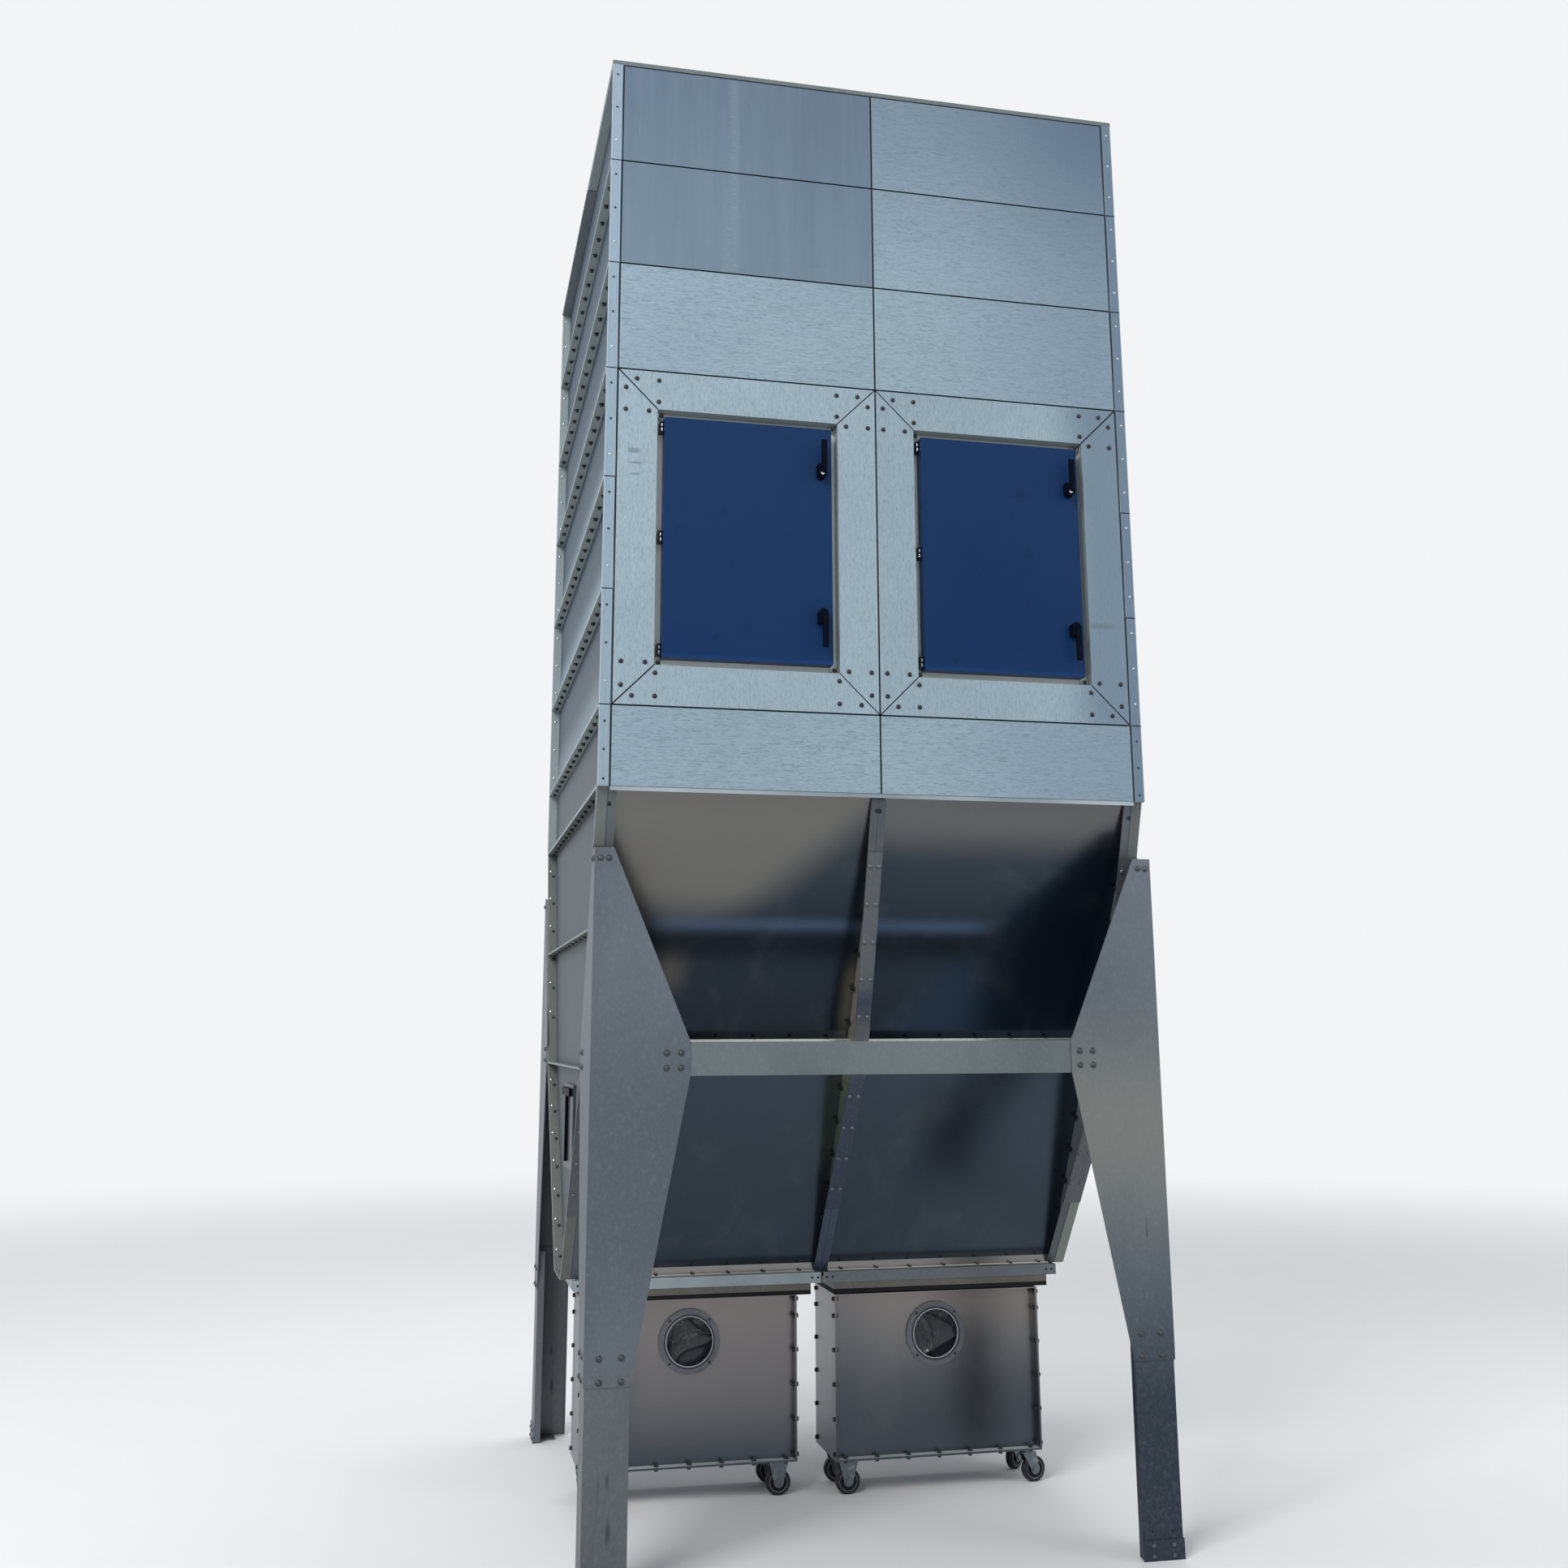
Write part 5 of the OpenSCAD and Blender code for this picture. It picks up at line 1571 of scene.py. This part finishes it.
@dataclass
class Stand(Assembly):
    """The four legs, their brackets and feet, and the crossbars."""

    half_w: float = 0.85
    half_d: float = 0.925
    plate: float = 0.0033
    marks: tuple[Pair, ...] = (
        (0.014, 1.942), (0.038, 1.942), (0.211, 1.398), (0.252, 1.398), (0.211, 1.357),
        (0.252, 1.357), (0.038, 0.601), (0.0985, 0.601), (0.038, 0.541), (0.0985, 0.541),
    )
    foot_marks: tuple[Pair, ...] = (
        (0.0305, 0.013), (0.0915, 0.013), (0.0305, 0.041), (0.0915, 0.041),
    )
    leg_marks: tuple[Pair, ...] = ((0.0305, 0.075), (0.0915, 0.075))
    shoe_w: float = 0.1253
    shoe_h: float = 0.055
    base_w: float = 0.084
    base_t: float = 0.006
    anchor: float = 0.0643
    anchor_r: float = 0.007
    sheet: float = 0.003
    step: float = 7.5

    def dress(self) -> None:
        """Gives the stand's nodes their finishes."""
        self.finishes.dress({
            "leg_brackets": "leg_zinc", "lower_legs": "leg_zinc", "crossbars": "bar_zinc",
        })

    def corner_set(self, group: Fasteners, marks: Sequence[Pair], stand_off: float) -> None:
        """Adds parts on both outer faces of all four corners.

        Args:
            group: The set that takes them.
            marks: Distance from the corner and height of each.
            stand_off: Distance of the face outside the corner's own planes.
        """
        reach, height = np.array(marks).T
        flat = np.full(len(reach), 1.0)
        for sx in (-1.0, 1.0):
            for sy in (-1.0, 1.0):
                front = (sx * (self.half_w - reach), sy * (self.half_d + stand_off) * flat, height)
                side = (sx * (self.half_w + stand_off) * flat, sy * (self.half_d - reach), height)
                group.add(np.stack(front, axis=1), (0, sy, 0))
                group.add(np.stack(side, axis=1), (sx, 0, 0))

    def shoes(self) -> None:
        """Makes the four foot shoes: two outer walls each, and a square base with its hole.

        The base is a ring of sections. Point k of its outer edge is where a ray at the turn k
        from the hole's middle meets the square, the longest reach that keeps both coordinates
        inside, and its inner edge is the hole's circle at the same turn.
        """
        corner = self.half_w + self.plate, self.half_d + self.plate
        middle = self.anchor + self.plate
        turn = np.radians(np.arange(0.0, 360.0, self.step)) + math.pi / 4
        ray = np.stack([np.cos(turn), np.sin(turn)], axis=1)
        room = np.where(ray > 0, self.base_w - middle, middle - self.sheet)
        edge = ray * np.min(room / np.maximum(np.abs(ray), 1e-6), axis=1)[:, None] + middle
        hole = ray * self.anchor_r + middle
        flat = np.concatenate([hole, edge, edge, hole])
        height = np.repeat([0.0, 0.0, self.base_t, self.base_t], len(turn))
        base = np.column_stack([flat, height])
        index = np.arange(len(base)).reshape(4, len(turn))
        after, above = np.roll(index, -1, axis=1), np.roll(index, -1, axis=0)
        ring = np.stack([index, above, np.roll(above, -1, axis=1), after], -1).reshape(-1, 4)
        walls, sides = boxes(
            np.array([[0.0, 0.0, 0.0], [self.sheet, 0.0, 0.0]]),
            np.array([[self.sheet, self.shoe_w, self.shoe_h],
                      [self.shoe_w, self.sheet, self.shoe_h]]))
        shoe = np.concatenate([base, walls.reshape(-1, 3)])
        quads = np.concatenate([ring, sides[0] + len(base)])
        points, faces = [], []
        for sx in (1, -1):
            for sy in (1, -1):
                faces.append((quads if sx * sy > 0 else quads[:, ::-1]) + len(points) * len(shoe))
                points.append((shoe - [corner[0], corner[1], 0.0]) * [sx, sy, 1.0])
        piece = self.finishes.piece("foot_shoe_set", np.concatenate(points), faces, "leg_zinc")
        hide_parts("foot_shoes")

    def build(self) -> None:
        """Dresses the stand and adds its shoes and bolts."""
        self.dress()
        self.shoes()
        domes = Fasteners("leg_bracket_bolts", WASHER_DOME, "dark_bolt")
        feet = Fasteners("foot_bolts", SMALL_HEX, "plain_bolt")
        # dark dots of painted shade that stand for holes in the legs
        dots = Fasteners("leg_holes", DOT, "hinge_steel")
        self.corner_set(domes, self.marks, self.plate)
        self.corner_set(feet, self.foot_marks, self.plate)
        self.corner_set(dots, self.leg_marks, 0.0)
        for group in (domes, feet, dots):
            group.build(self.finishes)


@dataclass
class DustBin(Assembly):
    """One roll-out bin with its window, bag and casters.

    "x" and "y" are the bin's middle, "inner" is the side of its fixed casters, and "turns"
    gives each swivel caster's turn at rest, in degrees.
    """

    side: str
    x: float
    y: float
    inner: int
    turns: Mapping[int, float]
    width: float = 0.70
    depth: float = 0.27
    floor: float = 0.11
    recess: float = 0.032
    window_z: float = 0.481
    ring: float = 0.1
    ring_t: float = 0.008
    ring_gap: float = 0.0003
    screw_share: float = 0.92
    glass: float = 0.076
    bag_share: float = 1.2
    bag_back: float = 0.036
    bag_steps: int = 90
    bag_sharp: float = 80.0
    bag_phase: float = 1.9
    ridges: tuple[tuple[float, float, float, float, float], ...] = (
        (0.25, 0.9, 5.0, 0.010, 0.55), (1.5, 1.1, 8.0, 0.008, -0.6), (2.5, 1.4, 9.0, 0.005, 0.4),
    )
    flange_rows: tuple[float, ...] = (0.0, 0.105, 0.21, 0.315, 0.42, 0.472)
    first_row: float = 0.02
    foot_reach: float = 0.315
    foot_bolts: int = 7
    front_in: float = 0.014
    back_in: float = 0.016
    flange_t: float = 0.0065
    foot_seat: float = 0.0064
    caster_x: float = 0.032
    fixed_x: float = 0.052
    caster_y: float = 0.059
    trail: float = 0.022
    wheel: float = 0.040
    wheel_half: float = 0.0125

    def dress(self) -> None:
        """Gives the bin's nodes their finishes."""
        looks = {f"{self.side}_bin_sheets": "bin_zinc", f"{self.side}_window_ring": "ring_zinc",
                 f"{self.side}_window": "window_plastic"}
        forks = [f"fork_{number}" for number in self.turns]
        looks |= {f"{self.side}_{fork}": "caster_zinc" for fork in ["fixed_forks", *forks]}
        looks |= {f"{self.side}_wheel_{number}": "tyre_rubber" for number in range(1, 5)}
        self.finishes.dress(looks)

    def ring_face(self) -> float:
        """Gives Y of the window ring's front face."""
        return self.y - self.depth / 2 + self.recess - self.ring_gap - self.ring_t

    def bag(self) -> None:
        """Makes the crumpled bag behind the window.

        The sheet is a square grid behind the window. Its depth is a sum of ridges, each given
        as angle, waves, power, height and shift: one minus the size of a sine, raised to the
        power, along a slanting direction that sways.
        """
        steps = self.bag_steps
        u, v = np.meshgrid(np.linspace(-1, 1, steps), np.linspace(-1, 1, steps), indexing="ij")
        reach = self.glass * self.bag_share
        phase = 0.0 if self.side == "left" else self.bag_phase
        ridges = np.zeros_like(u)
        for angle, waves, power, height, shift in self.ridges:
            along = u * math.cos(angle + phase) + v * math.sin(angle + phase) + shift
            sway = 0.35 * np.sin(2.3 * (u * math.sin(angle) - v * math.cos(angle)) + phase)
            ridges += height * (1.0 - np.abs(np.sin(waves * (along + sway)))) ** power
        front = self.y - self.depth / 2 + self.recess + self.bag_back
        points = np.stack([self.x + reach * u, front - ridges, self.window_z + reach * v], axis=-1)
        index = np.arange(steps * steps).reshape(steps, steps)
        quads = np.stack([index[:-1, :-1], index[1:, :-1], index[1:, 1:], index[:-1, 1:]], -1)
        name, body = f"{self.side}_dust_bag", f"{self.side}_bin"
        self.finishes.piece(name, points, [quads.reshape(-1, 4)], "bag_film", body, self.bag_sharp)

    def bolts(self) -> None:
        """Sets the bolts along the forward flanges and the screws of the window's ring."""
        body = f"{self.side}_bin"
        heads = Fasteners(f"{self.side}_bin_bolts", HEX_BOLT, "flange_bolt", body)
        screws = Fasteners(f"{self.side}_ring_screws", SMALL_DOME, "frame_bolt", body)
        heights = self.floor + self.first_row + np.array(self.flange_rows)
        across = self.x + np.linspace(-self.foot_reach, self.foot_reach, self.foot_bolts)
        front = self.y - self.depth / 2 + self.front_in
        back = self.y + self.depth / 2 - self.back_in
        for y in (front, back):
            for sx in (-1.0, 1.0):
                edge = self.x + sx * self.width / 2
                heads.add(grid([edge], [y], heights), (sx, 0, 0))
            heads.add(grid(across, [y], [self.floor]), (0, 0, -1))
        for sx in (-1.0, 1.0):
            inside = self.x + sx * (self.width / 2 - self.flange_t)
            heads.add(grid([inside], [front], heights), (-sx, 0, 0))
        heads.add(grid(across, [front], [self.floor + self.foot_seat]), (0, 0, 1))
        angle = np.radians([45, 135, 225, 315])
        reach = self.ring * self.screw_share
        seats = np.stack([self.x + reach * np.cos(angle), np.full(4, self.ring_face()),
                          self.window_z + reach * np.sin(angle)], axis=1)
        screws.add(seats, (0, -1, 0))
        for group in (heads, screws):
            group.build(self.finishes)

    def window_lip(self) -> None:
        """Makes the thin bright edge around the window's clear disc."""
        middle = np.array([self.x, self.ring_face(), self.window_z])
        points, faces = WINDOW_LIP.array(middle, np.array([0.0, -1.0, 0.0]))
        name, body = f"{self.side}_window_lip", f"{self.side}_bin"
        self.finishes.piece(name, points, faces, "lip_metal", body)

    def wheel_trim(self) -> None:
        """Makes the pale ring and dark disc on both faces of each wheel.

        A fixed wheel stands below its fork. A swivel wheel stands at its swivel axis plus the
        trail turned by its rest turn, and its axle is square to the trail.
        """
        outward = -1.0 if self.side == "left" else 1.0
        for number in range(1, 5):
            sx = -1 if number % 2 else 1
            sy = -1 if number <= 2 else 1
            inset = self.fixed_x if sx == self.inner else self.caster_x
            x = self.x + sx * (self.width / 2 - inset)
            y = self.y + sy * (self.depth / 2 - self.caster_y)
            axle = np.array([0.0, 1.0, 0.0])
            if number in self.turns:
                turn = math.radians(self.turns[number])
                x += outward * self.trail * math.cos(turn)
                y += self.trail * math.sin(turn)
                axle = np.array([-outward * math.sin(turn), math.cos(turn), 0.0])
            centre = np.array([x, y, self.wheel])
            seats = np.stack([centre + self.wheel_half * axle, centre - self.wheel_half * axle])
            sides = np.stack([axle, -axle])
            body = f"{self.side}_caster_wheel_{number}"
            for kind, shape, look in (("ring", TYRE_RING, "caster_zinc"),
                                      ("disc", WHEEL_DISC, "disc_plastic")):
                points, faces = shape.array(seats, sides)
                name = f"{self.side}_wheel_{kind}_{number}"
                self.finishes.piece(name, points, faces, look, body)

    def build(self) -> None:
        """Dresses the bin and adds its bag, trim and fasteners."""
        self.dress()
        self.bag()
        self.bolts()
        self.window_lip()
        self.wheel_trim()


@dataclass
class Studio:
    """Pale floor and backdrop, soft lamps, and the camera at the photograph's viewing angle."""

    frame_px: float = 1932.0
    sensor: float = 36.0
    focal_px: float = 1959.77
    centre_px: Pair = (964.14, 847.94)
    place: Point = (-1.3203, -5.4644, 1.4462)
    yaw: float = 0.21988
    pitch: float = 0.21471
    roll: float = 0.00296
    floor_colour: Colour = (0.80, 0.80, 0.79)
    sky_colour: Colour = (0.89, 0.905, 0.92)
    fill_colour: Colour = (0.80, 0.86, 0.93)
    fill: float = 0.5
    lamps: tuple[tuple[str, Point, Point, float, float], ...] = (
        ("key_lamp", (-6.5, -7.5, 8.0), (0.0, 0.0, 2.4), 5.0, 900.0),
        ("fill_lamp", (7.5, -6.0, 5.0), (0.0, 0.0, 2.0), 5.0, 150.0),
        ("top_lamp", (0.0, 2.0, 10.5), (0.0, 0.0, 2.0), 6.0, 500.0),
    )
    rings: tuple[float, ...] = (0.02, 4.0, 9.0, 20.0, 60.0)
    floor_sides: int = 96
    fade: Pair = (4.0, 13.0)

    def camera(self) -> None:
        """Sets up the camera from the measured focal length, picture centre and turns."""
        data = bpy.data.cameras.new("camera")
        data.sensor_width = self.sensor
        data.sensor_fit = "HORIZONTAL"
        data.lens = self.sensor * self.focal_px / self.frame_px
        half = self.frame_px / 2
        data.shift_x = -(self.centre_px[0] - half) / self.frame_px
        data.shift_y = (self.centre_px[1] - half) / self.frame_px
        camera = bpy.data.objects.new("camera", data)
        camera.location = self.place
        camera.rotation_euler = (math.pi / 2 + self.pitch, self.roll, -self.yaw)
        bpy.context.scene.collection.objects.link(camera)
        bpy.context.scene.camera = camera

    def seen(self, tree: Tree) -> Signal:
        """Gives 1 for rays that show the background, also those in metal and through glass.

        Args:
            tree: The floor's or the world's tree.

        Returns:
            1 or 0.
        """
        path = tree.node("ShaderNodeLightPath", {}, {})
        parts = [Signal(tree, path.outputs[f"Is {kind} Ray"])
                 for kind in ("Camera", "Glossy", "Transmission")]
        return (parts[0] + parts[1] + parts[2]).math("MINIMUM", 1.0)

    def ground(self) -> None:
        """Makes a flat round floor that fades into the background's colour far out.

        Its points stand on rings round the origin: radius times the cosine and sine of the turn.
        """
        angle = TAU * np.arange(self.floor_sides) / self.floor_sides
        rings = np.array(self.rings)
        x, y = np.outer(rings, np.cos(angle)), np.outer(rings, np.sin(angle))
        points = np.stack([x, y, np.zeros_like(x)], axis=-1)
        index = np.arange(x.size).reshape(x.shape)
        after = np.roll(index, -1, axis=1)
        quads = np.stack([index[:-1], index[1:], after[1:], after[:-1]], -1).reshape(-1, 4)
        mesh = bpy.data.meshes.new("studio_floor")
        mesh.from_pydata(points.reshape(-1, 3).tolist(), [], quads.tolist() + [index[0].tolist()])
        mesh.update()
        floor = bpy.data.objects.new("studio_floor", mesh)
        bpy.context.scene.collection.objects.link(floor)
        shader = Shader("studio_floor")
        x, y, _ = shader.axes()
        radius = (x * x + y * y).math("SQRT")
        grains = shader.noise((3.0, 3.0, 3.0), 4.0, 0.6)
        shader.set(Base_Color=shader.mix(grains * 0.2, self.floor_colour, self.sky_colour),
                   Roughness=0.85, Specular_IOR_Level=0.1)
        glow = shader.node("ShaderNodeEmission", {}, {0: self.sky_colour, 1: 1.0})
        blend = shader.node("ShaderNodeMixShader", {}, {
            0: radius.ramp(*self.fade) * self.seen(shader), 1: shader.surface.outputs[0],
            2: glow.outputs[0]})
        shader.feed(shader.output.inputs[0], blend.outputs[0])
        mesh.materials.append(shader.material)

    def lamp(self, name: str, place: Sequence[float], aim: Sequence[float], size: float,
             watts: float) -> None:
        """Adds one square area lamp.

        Args:
            name: The lamp's name.
            place: Where it hangs.
            aim: The point that it faces.
            size: Length of its side, in metres.
            watts: Its power.
        """
        data = bpy.data.lights.new(name, "AREA")
        data.shape = "SQUARE"
        data.size = size
        data.energy = watts
        lamp = bpy.data.objects.new(name, data)
        lamp.location = place
        towards = np.subtract(aim, place)
        flat = math.hypot(towards[0], towards[1])
        lamp.rotation_euler = (
            math.pi / 2 + math.atan2(towards[2], flat), 0.0,
            math.atan2(towards[1], towards[0]) - math.pi / 2,
        )
        bpy.context.scene.collection.objects.link(lamp)

    def light(self) -> None:
        """Sets the world and the lamps; the world is pale to the camera and in metal."""
        world = bpy.data.worlds.new("studio")
        bpy.context.scene.world = world
        world.use_nodes = True
        tree = Tree(world.node_tree)
        fill = tree.node("ShaderNodeBackground", {}, {0: self.fill_colour, 1: self.fill})
        sky = tree.node("ShaderNodeBackground", {}, {0: self.sky_colour, 1: 1.0})
        both = tree.node("ShaderNodeMixShader", {},
                         {0: self.seen(tree), 1: fill.outputs[0], 2: sky.outputs[0]})
        tree.node("ShaderNodeOutputWorld", {}, {0: both.outputs[0]})
        for lamp in self.lamps:
            self.lamp(*lamp)

    def build(self) -> None:
        """Makes the camera, floor and light."""
        self.camera()
        self.ground()
        self.light()


def main() -> None:
    """Builds the studio and each part of the dust collector in order."""
    logging.basicConfig(level=logging.INFO, format="%(name)s %(message)s")
    scene = bpy.context.scene
    scene.view_settings.view_transform = "Standard"
    finishes = Finishes()
    Studio().build()
    parts = (
        FilterHouse(finishes), Hopper(finishes), Stand(finishes),
        DustBin(finishes, "left", -0.425, 0.04, 1, {1: 100.0, 3: 110.0}),
        DustBin(finishes, "right", 0.393, 0.0, -1, {2: 10.0, 4: 38.0}),
    )
    for part in parts:
        part.build()
        LOG.info("built %s", type(part).__name__)


if __name__ == "__main__":
    main()
